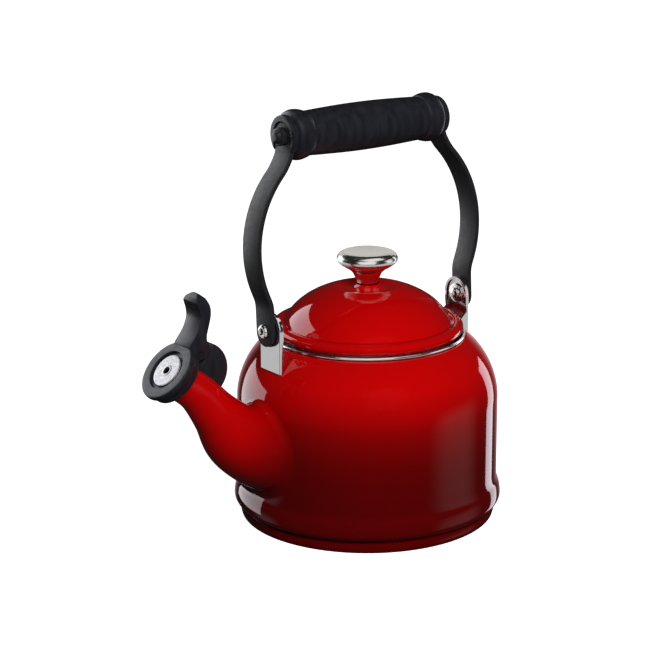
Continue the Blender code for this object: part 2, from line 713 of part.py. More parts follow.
def build_discs(empty):
    front = [
        (2.5 * MM, -0.3 * MM), (8.1 * MM, -0.45 * MM), (8.7 * MM, -0.8 * MM), (8.7 * MM, -1.3 * MM),
        (1.8 * MM, -1.3 * MM), (1.8 * MM, -0.5 * MM),
    ]
    rear = [(1.8 * MM, -3.6 * MM), (8.5 * MM, -3.6 * MM), (8.5 * MM, -4.3 * MM),
            (1.8 * MM, -4.3 * MM)]
    seal = [(8.9 * MM, -3.6 * MM), (11.2 * MM, -3.6 * MM), (11.2 * MM, -4.8 * MM),
            (10.6 * MM, -CAP_DEPTH), (9.4 * MM, -CAP_DEPTH), (8.9 * MM, -4.8 * MM)]
    pieces = (("whistle_front_disc", front, STEEL), ("whistle_rear_disc", rear, BRUSHED),
              ("whistle_seal", seal, SILICONE))
    for name, profile, material in pieces:
        hang(empty, on_whistle(turned(name, profile, material, closed=True, steps=24)))


def fin_outline():
    """The rounded thumb guard behind the hinge, a quarter disc standing on the spout."""
    outline = [in_plane(8 * MM, 5.8 * MM), in_plane(12 * MM, 5.8 * MM), (-104.4 * MM, 98.6 * MM),
               (-97.7 * MM, 107.7 * MM)]
    center = (-103.5 * MM, 95.4 * MM)
    outline += arc(center, 14.4 * MM, 62, -42, 9)
    return outline + [(-97 * MM, 80 * MM)]


def build_collar(pin_bore):
    """The collar on the spout's tip, with the guard and the tongue that carries the hinge pin."""
    start = -CAP_DEPTH - GAP
    stop = start - COLLAR_DEPTH
    outer = COLLAR_RADIUS
    inner = TIP_RADIUS + 0.5 * MM
    profile = [(inner, start), (outer, start), (outer, stop + 0.5 * MM),
               (outer - 0.5 * MM, stop), (inner, stop)]
    collar = on_whistle(turned("spout_collar", profile, PHENOLIC, closed=True, steps=32))
    fin = plate("guard_fin", fin_outline(), 4.6 * MM, collection=CUTTERS)
    nest = cylinder("knuckle_nest", KNUCKLE_RADIUS + 0.5 * MM, KNUCKLE_WIDTH + 0.8 * MM, HINGE,
                    (0, 1, 0), steps=28, collection=CUTTERS)
    middle = -1.4 * MM
    eye = cylinder("tongue_eye", 3.6 * MM, 2.4 * MM, HINGE + Vector((0, middle, 0)), (0, 1, 0),
                   collection=CUTTERS)
    reach = Vector((7.4, 0.0, -6.2)) * MM
    across = Vector((0.64, 0.0, 0.77)) * 2.4 * MM
    corners = [HINGE + across, HINGE + reach + across, HINGE + reach - across, HINGE - across]
    bar = plate("tongue_bar", [(c.x, c.z) for c in corners], 1.2 * MM, collection=CUTTERS,
                middle=middle)
    boolean(collar, fin, "UNION")
    boolean(collar, nest)
    boolean(collar, bar, "UNION")
    boolean(collar, eye, "UNION")
    boolean(collar, pin_bore)
    boolean(collar, spout_solid("spout_clearance", GAP))


def build_hinge_pin():
    cylinder("whistle_hinge_pin", PIN_RADIUS, KNUCKLE_WIDTH - 2.2 * MM, HINGE, (0, 1, 0), STEEL,
             steps=14)


def build_spring():
    """A torsion spring round the pin, beside the tongue, with two short legs."""
    turns = 2
    per_turn = 14
    radius = 2.2 * MM
    wire = 0.35 * MM
    pitch = 0.78 * MM
    points = [Vector((radius, 0.0, -2.2 * MM))]
    for index in range(turns * per_turn + 1):
        angle = 2 * math.pi * index / per_turn
        points.append(Vector((radius * math.cos(angle), pitch * index / per_turn,
                              radius * math.sin(angle))))
    points.append(points[-1] + Vector((0.0, 0.0, 2.2 * MM)))
    curve = bpy.data.curves.new("whistle_return_spring", "CURVE")
    curve.dimensions = "3D"
    curve.bevel_depth = wire
    curve.bevel_resolution = 1
    curve.use_fill_caps = True
    spline = curve.splines.new("POLY")
    spline.points.add(len(points) - 1)
    for target, point in zip(spline.points, points):
        target.co = (*point, 1.0)
    spring = place(bpy.data.objects.new("whistle_return_spring", curve), PARTS, BRUSHED)
    spring.location = HINGE + Vector((0.0, 0.75 * MM, 0.0))


# ---------------------------------------------------------------- assembly

def build_kettle():
    build_body()
    build_base()
    build_rim()
    build_spout()
    build_lid()
    build_knob()
    rivet_bore = build_brackets()
    handle_pivot = pivot_empty("handle_pivot", Vector((0, 0, PIVOT_HEIGHT)))
    build_straps(handle_pivot, rivet_bore)
    build_grip(handle_pivot)
    handle_pivot.rotation_euler = (-HANDLE_LEAN, 0, 0)
    whistle_pivot = pivot_empty("whistle_pivot", HINGE)
    pin_bore = build_cap(whistle_pivot)
    build_discs(whistle_pivot)
    build_collar(pin_bore)
    build_hinge_pin()
    build_spring()


build_kettle()
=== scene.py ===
import json
import math

import bmesh
import bpy
from mathutils import Matrix, Vector


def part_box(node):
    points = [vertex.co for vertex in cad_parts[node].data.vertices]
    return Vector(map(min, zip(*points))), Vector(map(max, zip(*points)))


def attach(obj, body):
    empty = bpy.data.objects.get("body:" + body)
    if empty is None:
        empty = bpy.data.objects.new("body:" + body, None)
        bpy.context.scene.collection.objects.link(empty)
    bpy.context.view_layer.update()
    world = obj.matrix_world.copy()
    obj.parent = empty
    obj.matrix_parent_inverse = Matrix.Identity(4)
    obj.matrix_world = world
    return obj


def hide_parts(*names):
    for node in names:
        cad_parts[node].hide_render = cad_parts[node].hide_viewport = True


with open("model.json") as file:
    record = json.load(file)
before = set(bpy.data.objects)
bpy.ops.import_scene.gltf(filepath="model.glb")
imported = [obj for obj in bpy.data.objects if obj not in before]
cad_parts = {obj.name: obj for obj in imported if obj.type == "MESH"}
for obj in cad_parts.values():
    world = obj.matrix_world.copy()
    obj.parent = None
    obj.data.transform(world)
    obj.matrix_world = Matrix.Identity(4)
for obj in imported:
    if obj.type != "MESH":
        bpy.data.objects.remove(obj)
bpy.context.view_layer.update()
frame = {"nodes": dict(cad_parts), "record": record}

RECORD = frame["record"]
BODY_OF = {node: body for body, nodes in RECORD["behaviour"]["bodies"].items() for node in nodes}
SLOT_OF = {part["node"]: part["material_slot"] for part in RECORD["subparts"]}
JOINTS = {joint["name"]: joint for joint in RECORD["behaviour"]["joints"]}

MM = 0.001
MIDDLE = Vector((0.0, 0.0, 0.09))

# Pieces grouped by how they shine; some lights reach only one group
GROUPS = {name: bpy.data.collections.new(name)
          for name in ("glazed", "lid", "foot", "plate", "metal", "black")}
GROUP_OF_SLOT = {"red_enamel": "glazed", "polished_steel": "metal", "brushed_steel": "metal"}
GROUP_OF_NODE = {"lid_shell": "lid", "base_pan": "foot",
                 "front_bracket": "plate", "rear_bracket": "plate"}

# The view of the kettle
AIM = Vector((0.0, 0.0, 0.07845))
VIEW_AZIMUTH = math.radians(-37.06)
VIEW_ELEVATION = math.radians(17.0)
VIEW_DISTANCE = 1.0617
VIEW_LENS = 112.98
VIEW_SHIFT = (-0.0651, 0.0621)


# ---------------------------------------------------------------- measures taken from the frame

def low(node):
    return Vector(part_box(node)[0])


def high(node):
    return Vector(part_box(node)[1])


def half_width(node):
    return (high(node).x - low(node).x) / 2


# Vessel
BULGE_RADIUS = half_width("body_shell")
BODY_RADIUS = BULGE_RADIUS - 2.2 * MM
MOUTH_RADIUS = 51.0 * MM
SHOULDER_START = 63.9 * MM
SHOULDER_DEPTH = 28.8 * MM
SHOULDER_RISE = 35.7 * MM
SHOULDER_POWER = 1.82
WALL = 1.4 * MM
CREASE_RADIUS = BULGE_RADIUS - 7.0 * MM
CREASE_HEIGHT = 6.0 * MM
FOOT_RADIUS = half_width("base_pan")
RIM_WIRE = (high("mouth_rim_ring").z - low("mouth_rim_ring").z) / 2
RIM_RADIUS = half_width("mouth_rim_ring") - RIM_WIRE
RIM_HEIGHT = high("mouth_rim_ring").z - RIM_WIRE

# Lid
LID_RADIUS = half_width("lid_shell")
LID_BOTTOM = low("lid_shell").z
DISH_HEIGHT = low("lid_knob").z - 0.3 * MM
DOME_RADIUS = LID_RADIUS - 5.1 * MM
DOME_BASE = LID_BOTTOM - 1.7 * MM
DOME_RISE = 27.4 * MM
KNOB_RADIUS = half_width("lid_knob")
KNOB_TOP = high("lid_knob").z

# Handle
PIVOT = Vector(JOINTS["handle_swing"]["pos_m"])
HANDLE_LEAN = math.radians(2.75)
STRAP_WIDTH = 13.8 * MM
STRAP_THICKNESS = 2.4 * MM
STRAP_FOOT_X = 64.5 * MM
STRAP_DROP = 8.0 * MM
STRAP_TOP_X = 48.6 * MM
BOW = ((64.5 * MM, 122.0 * MM), (70.6 * MM, 150.0 * MM), (53.0 * MM, 188.5 * MM))
NECK_HEIGHT = 196.0 * MM
GRIP_HEIGHT = 203.9 * MM
GRIP_END = half_width("grip")
FLANGE_RADIUS = 10.4 * MM
FLANGE_WIDTH = 3.0 * MM
BULB_RADIUS = 12.66 * MM
CREASE_AT = 35.8 * MM
BARREL_END_RADIUS = 11.1 * MM
BARREL_RADIUS = 12.2 * MM

# Pivot brackets
PLATE_X = -low("front_bracket").x
PLATE_FOOT = low("front_bracket").z
PLATE_HALF_WIDTH = 8.9 * MM
PLATE_THICKNESS = 1.3 * MM
TRAY_DEPTH = 2.2 * MM
WEB_DEPTH = 9.0 * MM

# Whistle
TILT = math.radians(42.0)
FACE = Vector((-121.8, 0.0, 98.7)) * MM
HINGE = Vector(JOINTS["whistle_flip"]["pos_m"])
CAP_RADIUS = 16.07 * MM
CAP_DEPTH = 5.0 * MM
COLLAR_RADIUS = 14.7 * MM
COLLAR_DEPTH = 2.6 * MM
KNUCKLE_RADIUS = 4.6 * MM
KNUCKLE_WIDTH = 10.0 * MM
LEVER_WIDTH = 13.5 * MM
LEVER_TOP = 134.7 * MM
AXIS_OUT = Vector((-math.cos(TILT), 0.0, math.sin(TILT)))
AXIS_UP = Vector((math.sin(TILT), 0.0, math.cos(TILT)))
GAP = 0.3 * MM

# Spout: centre line (x, z) and radius from the mouth to inside the vessel, in millimetres
SPOUT_ROUTE = (
    (-114.2, 91.8, 9.8), (-104.2, 83.5, 10.2), (-93.9, 70.6, 12.4),
    (-82.2, 56.8, 17.7), (-66.0, 46.6, 20.9), (-52.0, 42.6, 22.3),
)
SPOUT_WALL = 1.2 * MM
FILLET = 5.0 * MM


# ---------------------------------------------------------------- outlines

def filleted(corners, steps=4):
    """A polyline through (a, b, radius) corners, each corner but the ends turned into an arc."""
    points = []
    for index, (a, b, radius) in enumerate(corners):
        here = Vector((a, b))
        if radius <= 0 or index in (0, len(corners) - 1):
            points.append((a, b))
            continue
        back = Vector(corners[index - 1][:2]) - here
        ahead = Vector(corners[index + 1][:2]) - here
        reach = radius / math.tan(back.angle(ahead) / 2)
        reach = min(reach, 0.49 * back.length, 0.49 * ahead.length)
        start = here + back.normalized() * reach
        stop = here + ahead.normalized() * reach
        for step in range(steps + 1):
            t = step / steps
            point = start * (1 - t) ** 2 + here * 2 * t * (1 - t) + stop * t ** 2
            points.append((point.x, point.y))
    return points


def curved(points, steps=5):
    """A smooth curve through points of any dimension."""
    knots = [Vector(point) for point in points]
    knots = [knots[0] * 2 - knots[1], *knots, knots[-1] * 2 - knots[-2]]
    made = []
    for a, b, c, d in zip(knots, knots[1:], knots[2:], knots[3:]):
        for step in range(steps):
            t = step / steps
            made.append((b * 2 + (c - a) * t + (a * 2 - b * 5 + c * 4 - d) * t ** 2
                         + (b * 3 - a - c * 3 + d) * t ** 3) / 2)
    made.append(knots[-2])
    return [tuple(point) for point in made]


def inset(profile, amount):
    """Moves an open outer profile inwards along its normals."""
    moved = []
    for index, (radius, height) in enumerate(profile):
        before = profile[max(index - 1, 0)]
        after = profile[min(index + 1, len(profile) - 1)]
        run = Vector((after[0] - before[0], after[1] - before[1])).normalized()
        moved.append((max(radius + run[1] * amount, 0.0), height - run[0] * amount))
    return moved


def circle_through(first, second, third):
    """Centre and radius of the circle through three (a, b) points."""
    first, second, third = Vector(first), Vector(second), Vector(third)
    along = (second - first).orthogonal()
    across = (third - second).orthogonal()
    gap = (second + third) / 2 - (first + second) / 2
    share = (gap.x * across.y - gap.y * across.x) / (along.x * across.y - along.y * across.x)
    center = (first + second) / 2 + along * share
    return center, (first - center).length


# ---------------------------------------------------------------- meshes and pieces

def turned(outline, segments=128, closed=True):
    """Turns (radius, height) points about Z. Points on the axis become poles."""
    bm = bmesh.new()
    rows = []
    for radius, height in outline:
        count = 1 if radius < 1e-7 else segments
        turns = [2 * math.pi * index / segments for index in range(count)]
        rows.append([bm.verts.new((radius * math.cos(a), radius * math.sin(a), height))
                     for a in turns])
    pairs = list(zip(rows, rows[1:]))
    if closed:
        pairs.append((rows[-1], rows[0]))
    for first, second in pairs:
        for index in range(segments):
            after = (index + 1) % segments
            corners = [first[index % len(first)], first[after % len(first)],
                       second[after % len(second)], second[index % len(second)]]
            corners = list(dict.fromkeys(corners))
            if len(corners) > 2:
                bm.faces.new(corners)
    bmesh.ops.recalc_face_normals(bm, faces=bm.faces)
    return bm


def extruded(outline, half, stations=1):
    """Extrudes a closed (x, z) outline along Y from -half to half, in one or more bands."""
    levels = [half * (2 * index / stations - 1) for index in range(stations + 1)]
    return joined_rings([[(x, y, z) for x, z in outline] for y in levels], caps=True)


def round_edges(bm, width, segments=3, sharper=math.radians(35)):
    """Bevels every edge of the mesh that is sharper than an angle."""
    edges = [edge for edge in bm.edges
             if len(edge.link_faces) == 2 and edge.calc_face_angle() > sharper]
    bmesh.ops.bevel(bm, geom=edges, offset=width, segments=segments, profile=0.5,
                    affect="EDGES", clamp_overlap=True)
    return bm


def mesh_object(name, bm, sharp=math.radians(40)):
    mesh = bpy.data.meshes.new(name)
    bm.to_mesh(mesh)
    bm.free()
    mesh.shade_smooth()
    mesh.set_sharp_from_angle(angle=sharp)
    obj = bpy.data.objects.new(name, mesh)
    bpy.context.scene.collection.objects.link(obj)
    return obj


def bake(obj, sharp=math.radians(40)):
    """Applies the modifiers to the mesh and shades it smooth between its sharp edges."""
    depsgraph = bpy.context.evaluated_depsgraph_get()
    mesh = bpy.data.meshes.new_from_object(obj.evaluated_get(depsgraph))
    obj.modifiers.clear()
    obj.data = mesh
    mesh.shade_smooth()
    mesh.set_sharp_from_angle(angle=sharp)
    return obj


def combine(obj, others, operation):
    """Cuts the other objects out of obj or joins them to it, and removes them."""
    for other in others:
        modifier = obj.modifiers.new(other.name, "BOOLEAN")
        modifier.operation = operation
        modifier.solver = "EXACT"
        modifier.object = other
    bake(obj)
    for other in others:
        bpy.data.objects.remove(other, do_unlink=True)
    return obj


def bevelled(obj, width, segments=2, angle=math.radians(38)):
    modifier = obj.modifiers.new("edge_rounding", "BEVEL")
    modifier.width = width
    modifier.segments = segments
    modifier.limit_method = "ANGLE"
    modifier.angle_limit = angle
    modifier.harden_normals = False
    return bake(obj)


def moved(obj, matrix):
    obj.data.transform(matrix)
    return obj


def dress(obj, material):
    obj.data.materials.clear()
    obj.data.materials.append(material)
    return obj


def stand_for(obj, node, material):
    """The finished piece takes the node's place, its body and its finish."""
    dress(obj, material)
    group = GROUP_OF_NODE.get(node) or GROUP_OF_SLOT.get(SLOT_OF[node], "black")
    GROUPS[group].objects.link(obj)
    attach(obj, BODY_OF[node])
    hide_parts(node)
    return obj


def about_x(side, height):
    """Turns a piece made about Z so that its +Z points outwards along X at that height."""
    turn = Matrix.Rotation(side * math.pi / 2, 4, "Y")
    return Matrix.Translation((0, 0, height)) @ turn


def on_handle():
    """The bail at rest leans a little towards +Y about its pivots."""
    lean = Matrix.Rotation(-HANDLE_LEAN, 4, "X")
    return Matrix.Translation(PIVOT) @ lean @ Matrix.Translation(-PIVOT)


def on_whistle():
    """Puts a piece made about Z on the whistle's axis, its +Z facing out of the spout."""
    return Matrix.Translation(FACE) @ Matrix.Rotation(TILT - math.pi / 2, 4, "Y")


# ---------------------------------------------------------------- materials

class Nodes:
    """Short names for the shader nodes that the finishes share."""

    def __init__(self, name):
        self.material = bpy.data.materials.new(name)
        self.material.use_nodes = True
        self.tree = self.material.node_tree
        self.shader = self.tree.nodes["Principled BSDF"]
        coordinates = self.tree.nodes.new("ShaderNodeTexCoord")
        self.place = coordinates.outputs["Object"]

    def set(self, **values):
        for name, value in values.items():
            self.shader.inputs[name.replace("_", " ")].default_value = value
        return self

    def link(self, output, target):
        self.tree.links.new(output, target)

    def feed(self, output, name):
        self.link(output, self.shader.inputs[name])

    def noise(self, scale, detail=3.0, stretch=None):
        node = self.tree.nodes.new("ShaderNodeTexNoise")
        node.inputs["Scale"].default_value = scale
        node.inputs["Detail"].default_value = detail
        place = self.place
        if stretch:
            mapping = self.tree.nodes.new("ShaderNodeMapping")
            mapping.inputs["Scale"].default_value = stretch
            self.link(self.place, mapping.inputs["Vector"])
            place = mapping.outputs["Vector"]
        self.link(place, node.inputs["Vector"])
        return node.outputs["Fac"]

    def ranged(self, output, low_value, high_value, start=0.0, stop=1.0):
        node = self.tree.nodes.new("ShaderNodeMapRange")
        node.inputs["From Min"].default_value = start
        node.inputs["From Max"].default_value = stop
        node.inputs["To Min"].default_value = low_value
        node.inputs["To Max"].default_value = high_value
        self.link(output, node.inputs["Value"])
        return node.outputs["Result"]

    def ramp(self, output, stops):
        node = self.tree.nodes.new("ShaderNodeValToRGB")
        node.color_ramp.interpolation = "LINEAR"
        elements = node.color_ramp.elements
        while len(elements) < len(stops):
            elements.new(0.5)
        for element, (position, color) in zip(elements, stops):
            element.position = position
            element.color = (*color, 1.0)
        self.link(output, node.inputs["Fac"])
        return node.outputs["Color"]

    def height(self, axis="Z"):
        node = self.tree.nodes.new("ShaderNodeSeparateXYZ")
        self.link(self.place, node.inputs["Vector"])
        return node.outputs[axis]

    def mixed(self, factor, first, second, blend="MIX"):
        node = self.tree.nodes.new("ShaderNodeMix")
        node.data_type = "RGBA"
        node.blend_type = blend
        for socket, value in ((node.inputs[0], factor), (node.inputs[6], first),
                              (node.inputs[7], second)):
            if isinstance(value, bpy.types.NodeSocket):
                self.link(value, socket)
            else:
                socket.default_value = value
        return node.outputs[2]

    def bump(self, output, strength, distance):
        node = self.tree.nodes.new("ShaderNodeBump")
        node.inputs["Strength"].default_value = strength
        node.inputs["Distance"].default_value = distance
        self.link(output, node.inputs["Height"])
        self.feed(node.outputs["Normal"], "Normal")
        return self


# Red of the enamel against the height above the table, in metres
OMBRE = ((0.0, 0.085), (0.025, 0.090), (0.036, 0.098), (0.046, 0.125), (0.060, 0.225),
         (0.070, 0.360), (0.082, 0.500), (0.125, 0.480))
SPOUT_OMBRE = ((0.0, 0.12), (0.030, 0.17), (0.040, 0.27), (0.050, 0.34), (0.060, 0.41),
               (0.075, 0.48), (0.125, 0.52))
OMBRE_TOP = 0.125


def enamel_red(amount):
    return (amount, 0.0002 + amount * 0.0005, 0.0005 + amount * 0.0008)


def enamel(name, stops, root_stops=None):
    """Glossy vitreous enamel whose red follows the height, with a faint orange-peel surface."""
    nodes = Nodes(name).set(Roughness=0.05, IOR=1.52, Specular_IOR_Level=0.5)
    height = nodes.ranged(nodes.height(), 0.0, 1.0, 0.0, OMBRE_TOP)
    graded = nodes.ramp(height, [(z / OMBRE_TOP, enamel_red(amount)) for z, amount in stops])
    if root_stops:
        root = nodes.ramp(height, [(z / OMBRE_TOP, enamel_red(amount)) for z, amount in root_stops])
        nearness = nodes.ranged(nodes.height("X"), 0.0, 1.0, -0.090, -0.066)
        graded = nodes.mixed(nearness, graded, root)
    cloud = nodes.ranged(nodes.noise(38.0, 4.0), 0.0, 0.1, 0.35, 0.7)
    nodes.feed(nodes.mixed(cloud, graded, (0.20, 0.0004, 0.0006, 1.0)), "Base Color")
    nodes.feed(nodes.ranged(nodes.noise(260.0, 3.0), 0.03, 0.07), "Roughness")
    return nodes.bump(nodes.noise(420.0, 2.0), 0.05, 0.00003).material


def steel(name, color, rough, stretch=None, scale=900.0, strength=0.06):
    """Stainless steel with fine polishing marks and slightly uneven gloss."""
    nodes = Nodes(name).set(Metallic=1.0)
    tone = nodes.mixed(nodes.ranged(nodes.noise(120.0, 4.0), 0.0, 0.25, 0.3, 0.75),
                       (*color, 1.0), (color[0] * 0.8, color[1] * 0.8, color[2] * 0.82, 1.0))
    nodes.feed(tone, "Base Color")
    marks = nodes.noise(scale, 2.0, stretch)
    nodes.feed(nodes.ranged(marks, rough * 0.75, rough * 1.35, 0.3, 0.7), "Roughness")
    return nodes.bump(marks, strength, 0.00003).material


def moulded(name, color, rough, grain, depth, lift=0.35, streak=None):
    """Matt plastic, coating or rubber with an even grain and slight wear in its gloss."""
    nodes = Nodes(name)
    light = tuple(channel * (1 + lift) + 0.002 for channel in color)
    tone = nodes.mixed(nodes.ranged(nodes.noise(grain * 0.12, 4.0, streak), 0.0, 1.0, 0.3, 0.75),
                       (*color, 1.0), (*light, 1.0))
    nodes.feed(tone, "Base Color")
    nodes.feed(nodes.ranged(nodes.noise(grain * 0.4, 3.0), rough * 0.85, rough * 1.15, 0.3, 0.7),
               "Roughness")
    return nodes.bump(nodes.noise(grain, 2.0), 0.35, depth).material


def make_materials():
    plain = ((0.0, 0.50), (OMBRE_TOP, 0.50))
    return {
        "body": enamel("enamel_ombre_red", OMBRE),
        "spout": enamel("enamel_spout_red", SPOUT_OMBRE, OMBRE),
        "lid": enamel("enamel_lid_red", plain),
        "steel": steel("polished_stainless", (0.76, 0.75, 0.74), 0.12),
        "knob": steel("satin_knob_stainless", (0.80, 0.79, 0.76), 0.19),
        "disc": steel("spun_disc_stainless", (0.78, 0.77, 0.79), 0.30),
        "brushed": steel("brushed_stainless", (0.62, 0.62, 0.63), 0.32, (1, 1, 12), 500.0, 0.2),
        "coated": moulded("black_coated_steel", (0.013, 0.0135, 0.016), 0.47, 1500.0, 0.00006),
        "phenolic": moulded("black_phenolic_moulding", (0.0095, 0.010, 0.013), 0.36, 900.0, 0.00011,
                            0.9, (3.0, 3.0, 0.5)),
        "nut": moulded("black_nut_coating", (0.012, 0.012, 0.013), 0.36, 1400.0, 0.00004),
        "silicone": moulded("grey_silicone_rubber", (0.22, 0.22, 0.22), 0.6, 700.0, 0.00005),
    }


MATERIALS = make_materials()


# ---------------------------------------------------------------- vessel

def shoulder_points(steps=28):
    """The shoulder from the mouth down to the top of the straight wall, a flattened superellipse."""
    reach = SHOULDER_DEPTH - BODY_RADIUS + MOUTH_RADIUS
    stop = math.acos((reach / SHOULDER_DEPTH) ** (SHOULDER_POWER / 2))
    points = []
    for index in range(steps + 1):
        angle = stop * (1 - index / steps)
        across = SHOULDER_DEPTH * math.cos(angle) ** (2 / SHOULDER_POWER)
        rise = SHOULDER_RISE * math.sin(angle) ** (2 / SHOULDER_POWER)
        points.append((BODY_RADIUS - SHOULDER_DEPTH + across, SHOULDER_START + rise))
    return points


def body_outline():
    flare_top = 21.0 * MM
    bands = 15
    drop = (SHOULDER_START - flare_top) / bands
    wall = [(BODY_RADIUS, SHOULDER_START - drop * index) for index in range(1, bands)]
    flare = curved([
        (BODY_RADIUS, flare_top), (BODY_RADIUS + 0.35 * MM, 18.6 * MM),
        (BODY_RADIUS + 1.45 * MM, 15.6 * MM), (BULGE_RADIUS - 0.06 * MM, 12.0 * MM),
        (BULGE_RADIUS - 0.25 * MM, 9.4 * MM), (BULGE_RADIUS - 2.0 * MM, 7.3 * MM),
        (CREASE_RADIUS + 2.4 * MM, CREASE_HEIGHT + 0.7 * MM),
        (CREASE_RADIUS + 0.6 * MM, CREASE_HEIGHT + 0.2 * MM),
    ], 5)
    return shoulder_points() + wall + flare


def body_radius_at(height):
    """The vessel's outer radius at a height on the straight wall or the shoulder."""
    if height <= SHOULDER_START:
        return BODY_RADIUS
    share = min((height - SHOULDER_START) / SHOULDER_RISE, 1.0) ** SHOULDER_POWER
    return BODY_RADIUS - SHOULDER_DEPTH * (1 - (1 - share) ** (1 / SHOULDER_POWER))


def build_body():
    outer = body_outline()
    lip = [(MOUTH_RADIUS - 1.3 * MM, outer[0][1] - 0.1 * MM)]
    outline = lip + outer + inset(outer, WALL)[::-1] + [(lip[0][0], lip[0][1] - WALL)]
    body = mesh_object("body_enamelled", turned(outline, 160))
    bore = mesh_object("spout_bore", spout_tube(-SPOUT_WALL))
    stand_for(combine(body, [bore], "DIFFERENCE"), "body_shell", MATERIALS["body"])


def build_base():
    seam = CREASE_RADIUS - WALL - 0.6 * MM
    outline = filleted([
        (0.0, 1.5 * MM, 0), (seam - 3.6 * MM, 1.5 * MM, 1.5 * MM), (seam - 1.2 * MM, 3.2 * MM, 1 * MM),
        (seam - 1.2 * MM, 11 * MM, 0.4 * MM), (seam, 11 * MM, 0.4 * MM), (seam, CREASE_HEIGHT, 0),
        (CREASE_RADIUS, CREASE_HEIGHT, 0.4 * MM), (FOOT_RADIUS - 0.9 * MM, 5.4 * MM, 1.6 * MM),
        (FOOT_RADIUS, 2.6 * MM, 2.0 * MM), (FOOT_RADIUS - 0.7 * MM, 0.0, 1.2 * MM),
        (FOOT_RADIUS - 8.0 * MM, 0.0, 1.0 * MM), (FOOT_RADIUS - 11.0 * MM, 0.5 * MM, 1.0 * MM),
        (0.0, 0.5 * MM, 0),
    ])
    base = mesh_object("base_enamelled", turned(outline, 160, closed=False))
    stand_for(base, "base_pan", MATERIALS["body"])


def build_rim():
    bead = [(RIM_RADIUS + RIM_WIRE * math.cos(a), RIM_HEIGHT + RIM_WIRE * math.sin(a))
            for a in (2 * math.pi * index / 16 for index in range(16))]
    stand_for(mesh_object("rim_ring_polished", turned(bead, 160)), "mouth_rim_ring",
              MATERIALS["steel"])


# ---------------------------------------------------------------- spout

def spout_stations(rows_per_span=9):
    mouth = FACE - AXIS_OUT * (CAP_DEPTH + 2 * GAP)
    route = [(mouth.x, mouth.z, SPOUT_ROUTE[0][2] * MM)]
    route += [(x * MM, z * MM, radius * MM) for x, z, radius in SPOUT_ROUTE]
    return curved(route, rows_per_span)


def spout_rings(grow, columns=72):
    """Rings of points round the spout's centre line, from its mouth inwards."""
    stations = spout_stations()
    rings = []
    for index, (x, z, radius) in enumerate(stations):
        before = stations[max(index - 1, 0)]
        after = stations[min(index + 1, len(stations) - 1)]
        run = Vector((after[0] - before[0], 0.0, after[1] - before[1])).normalized()
        lift = Vector((-run.z, 0.0, run.x))
        ring = []
        for column in range(columns):
            angle = 2 * math.pi * column / columns
            spoke = lift * math.cos(angle) + Vector((0.0, math.sin(angle), 0.0))
            ring.append(Vector((x, 0.0, z)) + spoke * (radius + grow))
        rings.append(ring)
    return rings


def joined_rings(rings, caps):
    bm = bmesh.new()
    rows = [[bm.verts.new(point) for point in ring] for ring in rings]
    for first, second in zip(rows, rows[1:]):
        for index in range(len(first)):
            after = (index + 1) % len(first)
            bm.faces.new((first[index], first[after], second[after], second[index]))
    if caps:
        bm.faces.new(rows[0])
        bm.faces.new(rows[-1])
    bmesh.ops.recalc_face_normals(bm, faces=bm.faces)
    return bm


def spout_tube(grow):
    rings = spout_rings(grow)
    mouth = [point + AXIS_OUT * 3 * MM for point in rings[0]]
    return joined_rings([mouth] + rings, caps=True)


def outside_vessel(point):
    return math.hypot(point.x, point.y) - body_radius_at(point.z)


def on_vessel(point, proud):
    """The nearest point of the same height on the vessel, standing proud by a distance."""
    scale = (body_radius_at(point.z) + proud) / math.hypot(point.x, point.y)
    return Vector((point.x * scale, point.y * scale, point.z))


def spout_column(column):
    """Where the fillet starts on one lengthwise line, and where the line meets the vessel."""
    crossing = next(i for i, point in enumerate(column) if outside_vessel(point) < 0)
    near, far = column[crossing - 1], column[crossing]
    share = outside_vessel(near) / (outside_vessel(near) - outside_vessel(far))
    root = near.lerp(far, share)
    return root - (far - near).normalized() * FILLET, root


def filleted_spout_rings(columns=96, free_rows=34, fillet_rows=9):
    """Outer rings of the spout, respaced up to the fillet and then carried through it."""
    lines = list(zip(*spout_rings(0.0, columns)))
    center = Vector((-BODY_RADIUS, 0.0, root_height()))
    made = []
    for line in lines:
        start, root = spout_column(line)
        kept = [point for point in line if (point - start).dot(start - line[0]) < 0] + [start]
        along = respaced(kept, free_rows)
        away = root - center
        outward = Vector((root.x, root.y, 0.0)).normalized()
        away = (away - outward * away.dot(outward)).normalized()
        end = on_vessel(root + away * FILLET, -0.05 * MM)
        for step in range(1, fillet_rows + 1):
            t = step / fillet_rows
            along.append(start * (1 - t) ** 2 + root * 2 * t * (1 - t) + end * t ** 2)
        made.append(along)
    return list(zip(*made))


def root_height():
    """Height of the middle of the spout's root on the vessel."""
    stations = spout_stations()
    return next(z for x, z, _ in stations if x > -BODY_RADIUS)


def respaced(points, count):
    """The same polyline with evenly spaced points."""
    lengths = [0.0]
    for first, second in zip(points, points[1:]):
        lengths.append(lengths[-1] + (second - first).length)
    made = []
    index = 0
    for step in range(count + 1):
        target = lengths[-1] * step / count
        while index < len(points) - 2 and lengths[index + 1] < target:
            index += 1
        span = lengths[index + 1] - lengths[index]
        share = (target - lengths[index]) / span if span > 1e-9 else 0.0
        made.append(points[index].lerp(points[index + 1], min(max(share, 0.0), 1.0)))
    return made


def build_spout():
    outer = filleted_spout_rings()
    inner = [ring for ring in spout_rings(-SPOUT_WALL, 96)
             if max(outside_vessel(point) for point in ring) > -6 * MM]
    lip = [point + AXIS_OUT * 0.35 * MM for point in
           ((a + b) / 2 for a, b in zip(outer[0], inner[0]))]
    spout = mesh_object("spout_enamelled", joined_rings(inner[::-1] + [lip] + outer, caps=False))
    stand_for(spout, "spout", MATERIALS["spout"])


# ---------------------------------------------------------------- lid and knob

